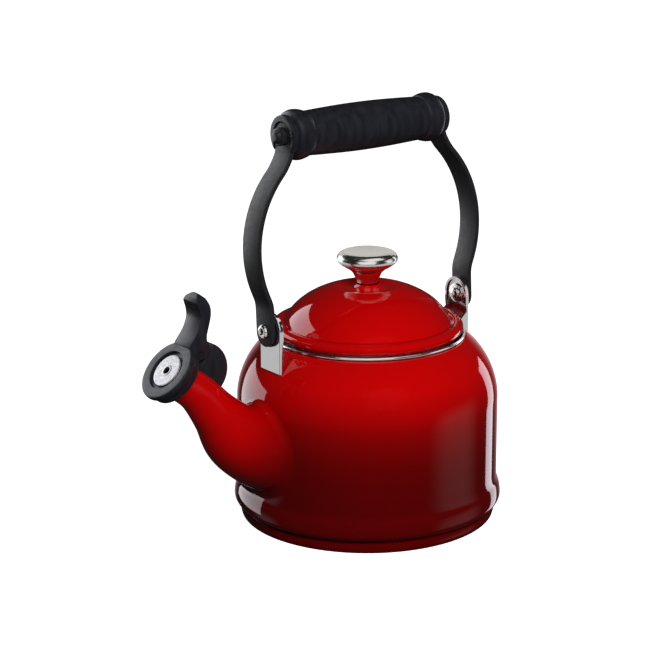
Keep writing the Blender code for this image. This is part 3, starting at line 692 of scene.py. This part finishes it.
def build_lid():
    boss = [(0.0, DISH_HEIGHT), (6.1 * MM, DISH_HEIGHT)]
    dish = boss + curved([
        (6.15 * MM, DISH_HEIGHT + 4.0 * MM), (6.7 * MM, DISH_HEIGHT + 2.9 * MM),
        (8.1 * MM, DISH_HEIGHT + 1.9 * MM), (10.4 * MM, DISH_HEIGHT + 1.55 * MM),
        (12.2 * MM, DISH_HEIGHT + 1.8 * MM), (13.5 * MM, DISH_HEIGHT + 2.1 * MM),
    ], 4)
    dome = []
    for index in range(27):
        turn = math.radians(69 - 55 * index / 26)
        dome.append((DOME_RADIUS * math.cos(turn), DOME_BASE + DOME_RISE * math.sin(turn)))
    brim = curved([
        (DOME_RADIUS + 0.2 * MM, 102.95 * MM), (LID_RADIUS - 3.2 * MM, 103.2 * MM),
        (LID_RADIUS - 1.3 * MM, 102.7 * MM), (LID_RADIUS - 0.2 * MM, 101.4 * MM),
        (LID_RADIUS - 0.1 * MM, 99.7 * MM), (LID_RADIUS - 0.9 * MM, LID_BOTTOM + 0.1 * MM),
    ], 5)
    outer = dish + dome + brim
    under = [(0.0, DISH_HEIGHT - 1.2 * MM), (9.8 * MM, DISH_HEIGHT - 1.2 * MM)]
    inner = under + inset(outer, 1.2 * MM)[len(boss) + 17:]
    outline = outer + [(LID_RADIUS - 1.5 * MM, LID_BOTTOM)] + inner[::-1]
    lid = mesh_object("lid_enamelled", turned(outline, 160, closed=False))
    stand_for(lid, "lid_shell", MATERIALS["lid"])


def build_knob():
    foot = DISH_HEIGHT + 0.3 * MM
    top = curved([
        (0.0, KNOB_TOP - 0.75 * MM), (5.0 * MM, KNOB_TOP - 0.65 * MM), (9.0 * MM, KNOB_TOP - 0.25 * MM),
        (11.4 * MM, KNOB_TOP), (13.4 * MM, KNOB_TOP - 0.45 * MM),
        (KNOB_RADIUS - 0.7 * MM, KNOB_TOP - 1.8 * MM),
        (KNOB_RADIUS, KNOB_TOP - 3.6 * MM), (KNOB_RADIUS - 0.6 * MM, KNOB_TOP - 5.4 * MM),
        (13.0 * MM, KNOB_TOP - 7.2 * MM), (10.0 * MM, KNOB_TOP - 9.0 * MM),
        (7.9 * MM, KNOB_TOP - 10.8 * MM), (6.6 * MM, KNOB_TOP - 13.2 * MM),
        (5.6 * MM, KNOB_TOP - 15.8 * MM), (5.3 * MM, foot + 2.8 * MM), (5.5 * MM, foot + 1.5 * MM),
        (5.7 * MM, foot + 0.6 * MM), (5.8 * MM, foot + 0.1 * MM),
    ], 5)
    outline = top + [(5.8 * MM, foot), (0.0, foot)]
    knob = mesh_object("knob_polished", turned(outline, 112, closed=False))
    stand_for(knob, "lid_knob", MATERIALS["knob"])


# ---------------------------------------------------------------- brackets and pivots

def bracket_edge():
    """The bracket's outline (y, z) and how far its flange reaches back at each point."""
    half = PLATE_HALF_WIDTH
    side = [(half, PLATE_FOOT, WEB_DEPTH), (half, 92.6 * MM, WEB_DEPTH),
            (half, 99.5 * MM, TRAY_DEPTH * 0.7), (half, PIVOT.z - 4 * MM, TRAY_DEPTH)]
    top = []
    for index in range(25):
        turn = math.pi * index / 24
        top.append((half * math.cos(turn), PIVOT.z + half * math.sin(turn), TRAY_DEPTH))
    return side + top + [(-y, z, depth) for y, z, depth in reversed(side)]


def bracket_sheet(side):
    edge = bracket_edge()
    bm = bmesh.new()
    rim = [bm.verts.new((side * PLATE_X, y, z)) for y, z, _ in edge]
    lip = [bm.verts.new((side * (PLATE_X - depth), y, z)) for y, z, depth in edge]
    plate = bm.faces.new(rim)
    for index in range(len(edge) - 1):
        bm.faces.new((rim[index], rim[index + 1], lip[index + 1], lip[index]))
    bmesh.ops.recalc_face_normals(bm, faces=bm.faces)
    if plate.normal.x * side < 0:
        bmesh.ops.reverse_faces(bm, faces=bm.faces)
    folds = [edge for edge in plate.edges if len(edge.link_faces) == 2]
    bmesh.ops.bevel(bm, geom=folds, offset=0.9 * MM, segments=4, profile=0.5, affect="EDGES",
                    clamp_overlap=True)
    return bm


def build_brackets():
    for name, side in (("front", -1), ("rear", 1)):
        bracket = mesh_object(name + "_bracket_pressed", bracket_sheet(side))
        sheet = bracket.modifiers.new("sheet", "SOLIDIFY")
        sheet.thickness = PLATE_THICKNESS
        sheet.offset = -1.0
        sheet.use_even_offset = True
        crown = shoulder_points()
        plug = [(0.0, crown[0][1])] + crown + [(BODY_RADIUS, 40 * MM), (0.0, 40 * MM)]
        shoulder = mesh_object("shoulder_trim", turned(plug, 128, closed=False))
        combine(bracket, [shoulder], "DIFFERENCE")
        stand_for(bracket, name + "_bracket", MATERIALS["steel"])
        build_pivot(name, side)


def build_pivot(name, side):
    bore = 2.3 * MM
    inner = PLATE_X + 0.1 * MM
    outer = STRAP_FOOT_X - STRAP_THICKNESS - 0.1 * MM
    spacer = [(bore, inner), (bore, outer), (8.4 * MM, outer), (8.4 * MM, inner)]
    back = PLATE_X - PLATE_THICKNESS - 0.1 * MM
    washer = filleted([
        (bore, back, 0), (5.2 * MM, back, 0), (5.2 * MM, back - 0.9 * MM, 0.5 * MM),
        (bore, back - 0.9 * MM, 0),
    ])
    head = STRAP_FOOT_X + 0.05 * MM
    tail = back - 0.9 * MM
    rivet = filleted([
        (0.0, head - 2.5 * MM, 0), (1.5 * MM, head - 2.5 * MM, 0), (1.5 * MM, head + 1.1 * MM, 0.2 * MM),
        (1.9 * MM, head + 1.7 * MM, 0.4 * MM), (3.0 * MM, head + 1.55 * MM, 0.8 * MM),
        (3.7 * MM, head + 0.5 * MM, 0.6 * MM), (3.5 * MM, head, 0), (2.0 * MM, head, 0),
        (2.0 * MM, tail, 0), (3.0 * MM, tail, 0), (2.9 * MM, tail - 1.1 * MM, 0.7 * MM),
        (1.2 * MM, tail - 1.6 * MM, 0.5 * MM), (0.0, tail - 1.6 * MM, 0),
    ])
    placed = about_x(side, PIVOT.z)
    pieces = (("spacer", spacer, True, "phenolic"), ("washer", washer, True, "steel"),
              ("rivet", rivet, False, "steel"))
    for part, outline, closed, finish in pieces:
        obj = mesh_object(f"{name}_{part}_turned", turned(outline, 48, closed))
        stand_for(moved(obj, placed), f"{name}_pivot_{part}", MATERIALS[finish])


# ---------------------------------------------------------------- bail handle

def strap_path():
    """Points (x, z) of the strap's outer face from its foot to its top, evenly spaced."""
    center, radius = circle_through(*BOW)
    start = math.atan2(BOW[0][1] - center.y, BOW[0][0] - center.x)
    stop = math.atan2(BOW[2][1] - center.y, BOW[2][0] - center.x)
    turns = [start + (stop - start) * index / 40 for index in range(41)]
    bow = [(center.x + radius * math.cos(a), center.y + radius * math.sin(a)) for a in turns]
    corners = [(STRAP_FOOT_X, PIVOT.z - STRAP_DROP), (STRAP_FOOT_X, BOW[0][1] - 1 * MM), *bow,
               (STRAP_TOP_X, NECK_HEIGHT), (STRAP_TOP_X, GRIP_HEIGHT + STRAP_WIDTH / 2)]
    path = respaced([Vector((x, 0.0, z)) for x, z in corners], 130)
    for _ in range(10):
        inner = [(a + b * 2 + c) / 4 for a, b, c in zip(path, path[1:], path[2:])]
        path = [path[0], *inner, path[-1]]
    return path


def strap_outline(length, steps=14):
    """A long stadium (s, y) with round ends."""
    half = STRAP_WIDTH / 2
    turns = [math.pi * index / steps for index in range(steps + 1)]
    top = [(length - half + half * math.sin(a), -half * math.cos(a)) for a in turns]
    foot = [(half - half * math.sin(a), half * math.cos(a)) for a in turns]
    return top + foot


def build_strap(name, side):
    """A flat stadium-shaped strip with rounded edges, bent along the strap's path."""
    path = strap_path()
    steps = [(b - a).length for a, b in zip(path, path[1:])]
    length = sum(steps)
    bm = bmesh.new()
    strip = bm.faces.new([bm.verts.new((s, y, 0.0)) for s, y in strap_outline(length)])
    grown = bmesh.ops.extrude_face_region(bm, geom=[strip])
    raised = [item for item in grown["geom"] if isinstance(item, bmesh.types.BMVert)]
    bmesh.ops.translate(bm, vec=(0, 0, -STRAP_THICKNESS), verts=raised)
    bmesh.ops.recalc_face_normals(bm, faces=bm.faces)
    round_edges(bm, 0.45 * MM, 3, math.radians(60))
    count = 90
    for index in range(1, count):
        everything = list(bm.verts) + list(bm.edges) + list(bm.faces)
        bmesh.ops.bisect_plane(bm, geom=everything, plane_co=(length * index / count, 0, 0),
                               plane_no=(1, 0, 0), dist=1e-7)
    for vert in bm.verts:
        vert.co = bent(vert.co, path, steps)
    if side < 0:
        bmesh.ops.transform(bm, matrix=Matrix.Scale(-1, 4, (1, 0, 0)), verts=bm.verts)
    bmesh.ops.recalc_face_normals(bm, faces=bm.faces)
    strap = moved(mesh_object(name + "_strap_coated", bm), on_handle())
    stand_for(strap, name + "_strap", MATERIALS["coated"])


def bent(flat, path, steps):
    """Takes a point (along, across, height above the outer face) to its place on the path."""
    remaining = flat.x
    index = 0
    while index < len(steps) - 1 and remaining > steps[index]:
        remaining -= steps[index]
        index += 1
    share = remaining / steps[index]
    run = path[index + 1] - path[index]
    before = path[index] - path[index - 1] if index else run
    after = path[index + 2] - path[index + 1] if index < len(steps) - 1 else run
    slope = ((before + run).lerp(run + after, share)).normalized()
    outward = Vector((slope.z, 0.0, -slope.x))
    return path[index] + run * share + outward * flat.z + Vector((0.0, flat.y, 0.0))


def grip_half():
    """Half of the grip's outline (radius, distance from the middle), from its end inwards."""
    seat = GRIP_END - FLANGE_WIDTH
    flange = filleted([
        (0.0, GRIP_END, 0), (FLANGE_RADIUS, GRIP_END, 0.9 * MM), (FLANGE_RADIUS, seat, 0.3 * MM),
        (FLANGE_RADIUS - 0.5 * MM, seat - 0.3 * MM, 0),
    ])
    bulb = curved([
        (FLANGE_RADIUS - 0.5 * MM, seat - 0.4 * MM), (BULB_RADIUS - 1.0 * MM, seat - 1.5 * MM),
        (BULB_RADIUS - 0.15 * MM, seat - 3.4 * MM), (BULB_RADIUS, seat - 5.2 * MM),
        (BULB_RADIUS - 0.3 * MM, seat - 7.4 * MM), (BULB_RADIUS - 1.0 * MM, CREASE_AT + 0.7 * MM),
        (BARREL_END_RADIUS, CREASE_AT),
    ], 5)
    swell = BARREL_RADIUS - BARREL_END_RADIUS
    barrel = [(BARREL_END_RADIUS + swell * math.sin(math.pi / 2 * index / 12), CREASE_AT * (1 - index / 12))
              for index in range(1, 13)]
    return flange + bulb + barrel


def build_grip():
    half = grip_half()
    outline = half + [(radius, -along) for radius, along in half[-2::-1]]
    grip = mesh_object("grip_moulded", turned(outline, 96, closed=False))
    moved(grip, about_x(1, GRIP_HEIGHT))
    slots = []
    floor = STRAP_TOP_X - STRAP_THICKNESS - 0.15 * MM
    half_slot = STRAP_WIDTH / 2 + 0.6 * MM
    for name, side in (("front", -1), ("rear", 1)):
        bm = bmesh.new()
        outline = [(half_slot * math.cos(a), GRIP_HEIGHT + half_slot * math.sin(a))
                   for a in (math.pi * index / 28 for index in range(29))]
        outline += [(-half_slot, GRIP_HEIGHT - 20 * MM), (half_slot, GRIP_HEIGHT - 20 * MM)]
        face = bm.faces.new([bm.verts.new((side * floor, y, z)) for y, z in outline])
        grown = bmesh.ops.extrude_face_region(bm, geom=[face])
        raised = [item for item in grown["geom"] if isinstance(item, bmesh.types.BMVert)]
        bmesh.ops.translate(bm, vec=(side * 20 * MM, 0, 0), verts=raised)
        bmesh.ops.recalc_face_normals(bm, faces=bm.faces)
        slots.append(mesh_object(name + "_slot", bm))
    combine(grip, slots, "DIFFERENCE")
    bevelled(grip, 0.35 * MM)
    stand_for(moved(grip, on_handle()), "grip", MATERIALS["phenolic"])


def build_nuts():
    """Acorn nuts: a chamfered hexagon with a dome."""
    seat = STRAP_TOP_X + 0.1 * MM
    for name, side in (("front", -1), ("rear", 1)):
        bm = bmesh.new()
        bmesh.ops.create_cone(bm, cap_ends=True, segments=6, radius1=4.9 * MM, radius2=4.9 * MM,
                              depth=3.0 * MM)
        round_edges(bm, 0.35 * MM, 2)
        nut = moved(mesh_object(name + "_nut_domed", bm), Matrix.Translation((0, 0, 1.5 * MM)))
        dome = filleted([
            (0.0, 5.0 * MM, 0), (2.6 * MM, 5.0 * MM, 2.4 * MM), (3.7 * MM, 3.0 * MM, 0.5 * MM),
            (3.8 * MM, 1.5 * MM, 0), (0.0, 1.5 * MM, 0),
        ], 6)
        combine(nut, [mesh_object("nut_dome", turned(dome, 36, closed=False))], "UNION")
        spin = Matrix.Rotation(math.radians(18), 4, "Z")
        place = about_x(side, GRIP_HEIGHT) @ Matrix.Translation((0, 0, seat)) @ spin
        stand_for(moved(nut, on_handle() @ place), name + "_grip_nut", MATERIALS["nut"])


# ---------------------------------------------------------------- whistle

def in_plane(along_up, behind):
    """A point (x, z) in the plane of symmetry, from the whistle face's centre."""
    point = FACE + AXIS_UP * along_up - AXIS_OUT * behind
    return point.x, point.z


def lever_outline():
    front = [in_plane(13.4 * MM, 0.5 * MM), (-112.3 * MM, 110.0 * MM), (-107.9 * MM, 115.8 * MM),
             (-105.7 * MM, 121.0 * MM), (-105.8 * MM, 125.6 * MM), (-107.3 * MM, 130.6 * MM)]
    tip = [(-106.8 * MM, 132.4 * MM), (-104.2 * MM, LEVER_TOP)]
    back = [(-101.6 * MM, 132.2 * MM), (-99.9 * MM, 127.8 * MM), (-99.8 * MM, 123.4 * MM),
            (-101.0 * MM, 118.6 * MM), (-102.3 * MM, 113.8 * MM), (-102.1 * MM, 110.4 * MM)]
    base = [(HINGE.x, HINGE.z), in_plane(15.6 * MM, 5.4 * MM), in_plane(12.4 * MM, CAP_DEPTH - GAP)]
    return curved(front, 4) + tip + curved(back, 4) + base


def lever_arch():
    """A round-topped slab across the lever, which gives it its round tip."""
    half = LEVER_WIDTH / 2
    turns = [math.pi * (1 - index / 32) for index in range(33)]
    outline = [(-half - MM, 95 * MM)]
    outline += [(half * math.cos(a), LEVER_TOP - half + half * math.sin(a)) for a in turns]
    outline += [(half + MM, 95 * MM)]
    bm = bmesh.new()
    face = bm.faces.new([bm.verts.new((-125 * MM, y, z)) for y, z in outline])
    grown = bmesh.ops.extrude_face_region(bm, geom=[face])
    raised = [item for item in grown["geom"] if isinstance(item, bmesh.types.BMVert)]
    bmesh.ops.translate(bm, vec=(35 * MM, 0, 0), verts=raised)
    bmesh.ops.recalc_face_normals(bm, faces=bm.faces)
    return mesh_object("lever_arch", bm)


def thumb_lever():
    """The lever: a curved tongue with a round tip and softened edges on its free part."""
    lever = mesh_object("lever", extruded(lever_outline(), LEVER_WIDTH / 2))
    combine(lever, [lever_arch()], "INTERSECT")
    bm = bmesh.new()
    bm.from_mesh(lever.data)
    bmesh.ops.remove_doubles(bm, verts=bm.verts, dist=0.00001)
    free = HINGE.z + 2.5 * MM
    edges = [edge for edge in bm.edges if len(edge.link_faces) == 2
             and edge.calc_face_angle() > math.radians(48)
             and min(vert.co.z for vert in edge.verts) > free]
    bmesh.ops.bevel(bm, geom=edges, offset=0.7 * MM, segments=3, profile=0.5, affect="EDGES",
                    clamp_overlap=True)
    bm.to_mesh(lever.data)
    bm.free()
    return lever


def build_cap():
    outline = filleted([
        (10.4 * MM, -1.6 * MM, 0), (10.4 * MM, 0.0, 0.35 * MM), (CAP_RADIUS, 0.0, 1.4 * MM),
        (CAP_RADIUS - 0.1 * MM, -2.4 * MM, 0.8 * MM), (COLLAR_RADIUS + 0.1 * MM, -CAP_DEPTH, 0.2 * MM),
        (11.5 * MM, -CAP_DEPTH, 0), (11.5 * MM, -3.3 * MM, 0), (5.5 * MM, -3.3 * MM, 0),
        (5.5 * MM, -1.6 * MM, 0),
    ], 5)
    cap = moved(mesh_object("whistle_cap_moulded", turned(outline, 96)), on_whistle())
    lever = thumb_lever()
    knuckle = mesh_object("knuckle", hinge_barrel(KNUCKLE_RADIUS, KNUCKLE_WIDTH))
    combine(cap, [lever, knuckle], "UNION")
    fork = mesh_object("fork", hinge_barrel(KNUCKLE_RADIUS + GAP, 6 * MM))
    combine(cap, [fork], "DIFFERENCE")
    bevelled(cap, 0.25 * MM)
    stand_for(cap, "whistle_cap", MATERIALS["phenolic"])


def hinge_barrel(radius, width, middle=0.0):
    bm = bmesh.new()
    bmesh.ops.create_cone(bm, cap_ends=True, segments=48, radius1=radius, radius2=radius,
                          depth=width)
    turn = Matrix.Rotation(math.pi / 2, 4, "X")
    place = Matrix.Translation(HINGE + Vector((0, middle, 0))) @ turn
    bmesh.ops.transform(bm, matrix=place, verts=bm.verts)
    return bm


def build_disc():
    """The front disc: nearly flat, with faint rings and a raised lip round the hole."""
    outline = [(1.9 * MM, -1.5 * MM), (1.9 * MM, -0.5 * MM), (2.1 * MM, -0.4 * MM),
               (2.6 * MM, -0.45 * MM), (3.0 * MM, -0.53 * MM)]
    for index in range(12):
        radius = (3.4 + index * 0.42) * MM
        outline.append((radius, (-0.55 + 0.035 * (index % 2)) * MM))
    outline += [(8.5 * MM, -0.62 * MM), (8.7 * MM, -0.9 * MM), (8.7 * MM, -1.5 * MM)]
    disc = moved(mesh_object("whistle_disc_spun", turned(outline, 80)), on_whistle())
    stand_for(disc, "whistle_front_disc", MATERIALS["disc"])


def fin_outline():
    """The round thumb guard behind the hinge, a quarter disc standing on the spout."""
    center = Vector((-103.5 * MM, 95.4 * MM))
    round_side = []
    for index in range(29):
        turn = math.radians(62 - 104 * index / 28)
        round_side.append((center.x + 14.4 * MM * math.cos(turn), center.y + 14.4 * MM * math.sin(turn)))
    front = [in_plane(8 * MM, 5.8 * MM), in_plane(12 * MM, 5.8 * MM), (-104.4 * MM, 98.6 * MM),
             (-97.7 * MM, 107.7 * MM)]
    return front + round_side + [(-97 * MM, 80 * MM)]


def build_collar():
    start = -CAP_DEPTH - GAP
    stop = start - COLLAR_DEPTH
    outline = filleted([
        (10.3 * MM, start, 0), (COLLAR_RADIUS, start, 0.3 * MM),
        (COLLAR_RADIUS - 0.2 * MM, stop, 0.8 * MM),
        (10.3 * MM, stop, 0),
    ])
    collar = moved(mesh_object("spout_collar_moulded", turned(outline, 96)), on_whistle())
    fin = mesh_object("fin", round_edges(extruded(fin_outline(), 4.6 * MM), 0.9 * MM, 3))
    dimple = mesh_object("dimple", fin_dimple())
    combine(fin, [dimple], "DIFFERENCE")
    combine(collar, [fin], "UNION")
    nest = mesh_object("nest", hinge_barrel(KNUCKLE_RADIUS + 0.5 * MM, KNUCKLE_WIDTH + 0.8 * MM))
    combine(collar, [nest], "DIFFERENCE")
    middle = -1.4 * MM
    eye = mesh_object("eye", hinge_barrel(3.6 * MM, 2.4 * MM, middle))
    reach = Vector((7.4, 0.0, -6.2)) * MM
    across = Vector((0.64, 0.0, 0.77)) * 2.4 * MM
    corners = [HINGE + across, HINGE + reach + across, HINGE + reach - across, HINGE - across]
    bar = mesh_object("bar", extruded([(c.x, c.z) for c in corners], 1.2 * MM))
    moved(bar, Matrix.Translation((0, middle, 0)))
    combine(collar, [bar, eye], "UNION")
    bore = mesh_object("spout_clearance", spout_tube(0.1 * MM))
    combine(collar, [bore], "DIFFERENCE")
    stand_for(collar, "spout_collar", MATERIALS["phenolic"])


def fin_dimple():
    bm = bmesh.new()
    bmesh.ops.create_icosphere(bm, subdivisions=3, radius=0.8 * MM)
    place = Matrix.Translation((-95.6 * MM, -4.9 * MM, 100.3 * MM))
    bmesh.ops.transform(bm, matrix=place, verts=bm.verts)
    return bm


def dress_frame_nodes():
    """The inner pieces keep their shape and get their finish."""
    finishes = {
        "lid_locating_ring": "brushed", "knob_washer": "brushed", "knob_screw": "steel",
        "grip_tie_rod": "brushed", "whistle_rear_disc": "disc", "whistle_seal": "silicone",
        "whistle_hinge_pin": "steel", "whistle_return_spring": "brushed",
    }
    for node, finish in finishes.items():
        GROUPS["black" if finish == "silicone" else "metal"].objects.link(frame["nodes"][node])
        for slot in frame["nodes"][node].material_slots:
            slot.material = MATERIALS[finish]


# ---------------------------------------------------------------- stage

def build_floor():
    """A pale table that glows evenly, so that it stays as white as the backdrop."""
    bm = bmesh.new()
    bmesh.ops.create_grid(bm, x_segments=1, y_segments=1, size=6.0)
    floor = mesh_object("floor", bm)
    white = (0.93, 0.93, 0.93, 1.0)
    nodes = Nodes("floor_white").set(Base_Color=white, Roughness=0.9, Specular_IOR_Level=0.0)
    nodes.set(Emission_Color=(1.0, 1.0, 1.0, 1.0), Emission_Strength=1.0)
    dress(floor, nodes.material)
    floor.visible_glossy = False
    floor.visible_diffuse = False
    floor.visible_shadow = False


def add_softbox(name, azimuth, elevation, distance, size, radiance, color=(1.0, 0.97, 0.98)):
    """An area light at a direction from the kettle's middle, azimuth measured like the camera's."""
    a, e = math.radians(azimuth), math.radians(elevation)
    away = Vector((math.sin(a) * math.cos(e), -math.cos(a) * math.cos(e), math.sin(e)))
    light = bpy.data.lights.new(name, "AREA")
    light.shape = "RECTANGLE"
    light.size, light.size_y = size
    light.energy = radiance * math.pi * size[0] * size[1]
    light.color = color
    obj = bpy.data.objects.new(name, light)
    obj.location = MIDDLE + away * distance
    obj.rotation_euler = (-away).to_track_quat("-Z", "Y").to_euler()
    obj.visible_camera = False
    bpy.context.scene.collection.objects.link(obj)
    return obj


COOL = (0.95, 0.95, 1.0)
BLUISH = (0.93, 0.95, 1.0)
ROSE = (1.0, 0.90, 0.98)
EDGE_FADE = 0.42
LIGHTS = (
    # name, group, azimuth, elevation, distance, size, radiance, colour; a haze has soft edges
    ("window_left", "glazed", -157, -4, 1.2, (0.92, 0.56), 2.5, (1.0, 0.90, 0.96)),
    ("window_left", "lid", -148, 22, 1.2, (1.5, 0.62), 3.0, (1.0, 0.91, 0.97)),
    ("window_left", "metal", -163, 8, 1.2, (0.9, 1.0), 1.6, COOL),
    ("window_left", "black", -163, 13, 1.2, (0.9, 1.15), 2.5, BLUISH),
    ("window_top", "black", -150, 58, 1.2, (0.9, 0.6), 0.55, BLUISH),
    ("window_right", "glazed", 97.5, -11, 1.2, (0.31, 0.87), 2.7, ROSE),
    ("window_right", "lid", 97.5, -17, 1.2, (0.31, 0.5), 2.9, ROSE),
    ("window_right", "metal", 99, 0, 1.2, (0.42, 1.3), 1.8, COOL),
    ("window_right", "plate", 99, 0, 1.2, (0.42, 1.3), 1.2, (1.0, 0.95, 0.97)),
    ("window_right", "black", 99, 0, 1.2, (0.42, 1.3), 1.6, BLUISH),
    ("haze_right", "glazed", 45, -16, 1.2, (1.35, 1.0), 0.26, (1.0, 0.95, 0.92)),
    ("haze_right", "foot", 47, -16, 1.2, (1.3, 1.0), 0.30, (1.0, 0.95, 0.92)),
    ("haze_left", "glazed", -131, -22, 1.2, (0.75, 0.7), 0.26, (1.0, 0.93, 1.0)),
    ("haze_back", "glazed", 143, -9, 1.3, (1.9, 1.2), 0.9, (1.0, 0.72, 0.74)),
    ("box_front", "metal", -37, 28, 1.3, (1.5, 1.2), 0.95, (1.0, 0.99, 0.98)),
    ("box_front", "plate", -37, 28, 1.3, (1.5, 1.2), 0.8, (1.0, 0.94, 0.94)),
    ("box_back", "metal", 143, 20, 1.3, (1.4, 0.8), 0.62, (1.0, 0.99, 0.95)),
    ("box_top", "metal", 20, 80, 1.3, (1.2, 1.2), 0.9, (1.0, 0.99, 0.97)),
    ("box_top", "plate", 20, 80, 1.3, (1.2, 1.2), 0.9, (1.0, 0.94, 0.94)),
    ("box_right", "metal", 55, 14, 1.3, (0.7, 0.9), 0.9, (1.0, 1.0, 1.0)),
    ("box_right", "plate", 55, 14, 1.3, (1.1, 0.9), 0.75, (1.0, 0.93, 0.93)),
    ("table_glow", "plate", 0, -90, 0.11, (2.4, 2.4), 0.62, (0.98, 0.98, 1.0)),
    ("window_left", "plate", -163, 12, 1.2, (0.9, 0.45), 1.2, COOL),
    ("box_back", "plate", 143, 20, 1.3, (1.4, 0.8), 0.6, (1.0, 0.99, 0.95)),
    ("table_glow", "metal", 0, -90, 0.11, (2.4, 2.4), 0.55, (1.0, 0.99, 0.98)),
    ("box_front", "black", -50, 45, 1.3, (1.0, 0.8), 0.8, BLUISH),
)


def soften(light, color):
    """Fades a light towards its edges, like a pale wall out of focus."""
    light.use_nodes = True
    tree = light.node_tree
    emission = tree.nodes["Emission"]
    emission.inputs["Color"].default_value = (*color, 1.0)
    place = tree.nodes.new("ShaderNodeNewGeometry")
    split = tree.nodes.new("ShaderNodeSeparateXYZ")
    tree.links.new(place.outputs["Parametric"], split.inputs[0])
    product = tree.nodes.new("ShaderNodeMath")
    product.operation = "MULTIPLY"
    for index, axis in enumerate("XY"):
        inward = tree.nodes.new("ShaderNodeMath")
        inward.operation = "PINGPONG"
        inward.inputs[1].default_value = 0.5
        tree.links.new(split.outputs[axis], inward.inputs[0])
        fade = tree.nodes.new("ShaderNodeMapRange")
        fade.interpolation_type = "SMOOTHSTEP"
        fade.inputs["From Max"].default_value = EDGE_FADE
        tree.links.new(inward.outputs[0], fade.inputs["Value"])
        tree.links.new(fade.outputs[0], product.inputs[index])
    tree.links.new(product.outputs[0], emission.inputs["Strength"])


def build_lights():
    """One soft key for the colours; the windows and boxes only show in the gloss."""
    key = add_softbox("key", -19, 32, 1.4, (0.9, 0.7), 10.7)
    key.visible_glossy = False
    for name, group, *placing, color in LIGHTS:
        light = add_softbox(f"{name}_{group}", *placing, color)
        light.visible_diffuse = False
        if name.startswith("haze"):
            soften(light.data, color)
        light.light_linking.receiver_collection = GROUPS[group]


def build_world():
    """White behind the kettle, a faint fill for the colours and near black in the gloss."""
    world = bpy.data.worlds.new("studio")
    bpy.context.scene.world = world
    world.use_nodes = True
    tree = world.node_tree
    background = tree.nodes["Background"]
    background.inputs["Color"].default_value = (1.0, 1.0, 1.0, 1.0)
    path = tree.nodes.new("ShaderNodeLightPath")
    strength = 0.0
    for ray, amount in (("Is Camera Ray", 1.0), ("Is Diffuse Ray", 0.08), ("Is Glossy Ray", 0.02)):
        step = tree.nodes.new("ShaderNodeMath")
        step.operation = "MULTIPLY_ADD"
        step.inputs[1].default_value = amount
        tree.links.new(path.outputs[ray], step.inputs[0])
        if strength:
            tree.links.new(strength, step.inputs[2])
        else:
            step.inputs[2].default_value = 0.0
        strength = step.outputs[0]
    tree.links.new(strength, background.inputs["Strength"])


def build_camera():
    away = Vector((math.sin(VIEW_AZIMUTH) * math.cos(VIEW_ELEVATION),
                   -math.cos(VIEW_AZIMUTH) * math.cos(VIEW_ELEVATION), math.sin(VIEW_ELEVATION)))
    data = bpy.data.cameras.new("camera")
    data.lens = VIEW_LENS
    data.shift_x, data.shift_y = VIEW_SHIFT
    data.clip_start, data.clip_end = 0.01, 50
    camera = bpy.data.objects.new("camera", data)
    camera.location = AIM + away * VIEW_DISTANCE
    camera.rotation_euler = (-away).to_track_quat("-Z", "Y").to_euler()
    bpy.context.scene.collection.objects.link(camera)
    bpy.context.scene.camera = camera


# ---------------------------------------------------------------- assembly

build_camera()
build_floor()
build_lights()
build_world()
bpy.context.scene.view_settings.view_transform = "Standard"
build_body()
build_base()
build_rim()
build_spout()
build_lid()
build_knob()
build_brackets()
build_strap("front", -1)
build_strap("rear", 1)
build_grip()
build_nuts()
build_cap()
build_disc()
build_collar()
dress_frame_nodes()
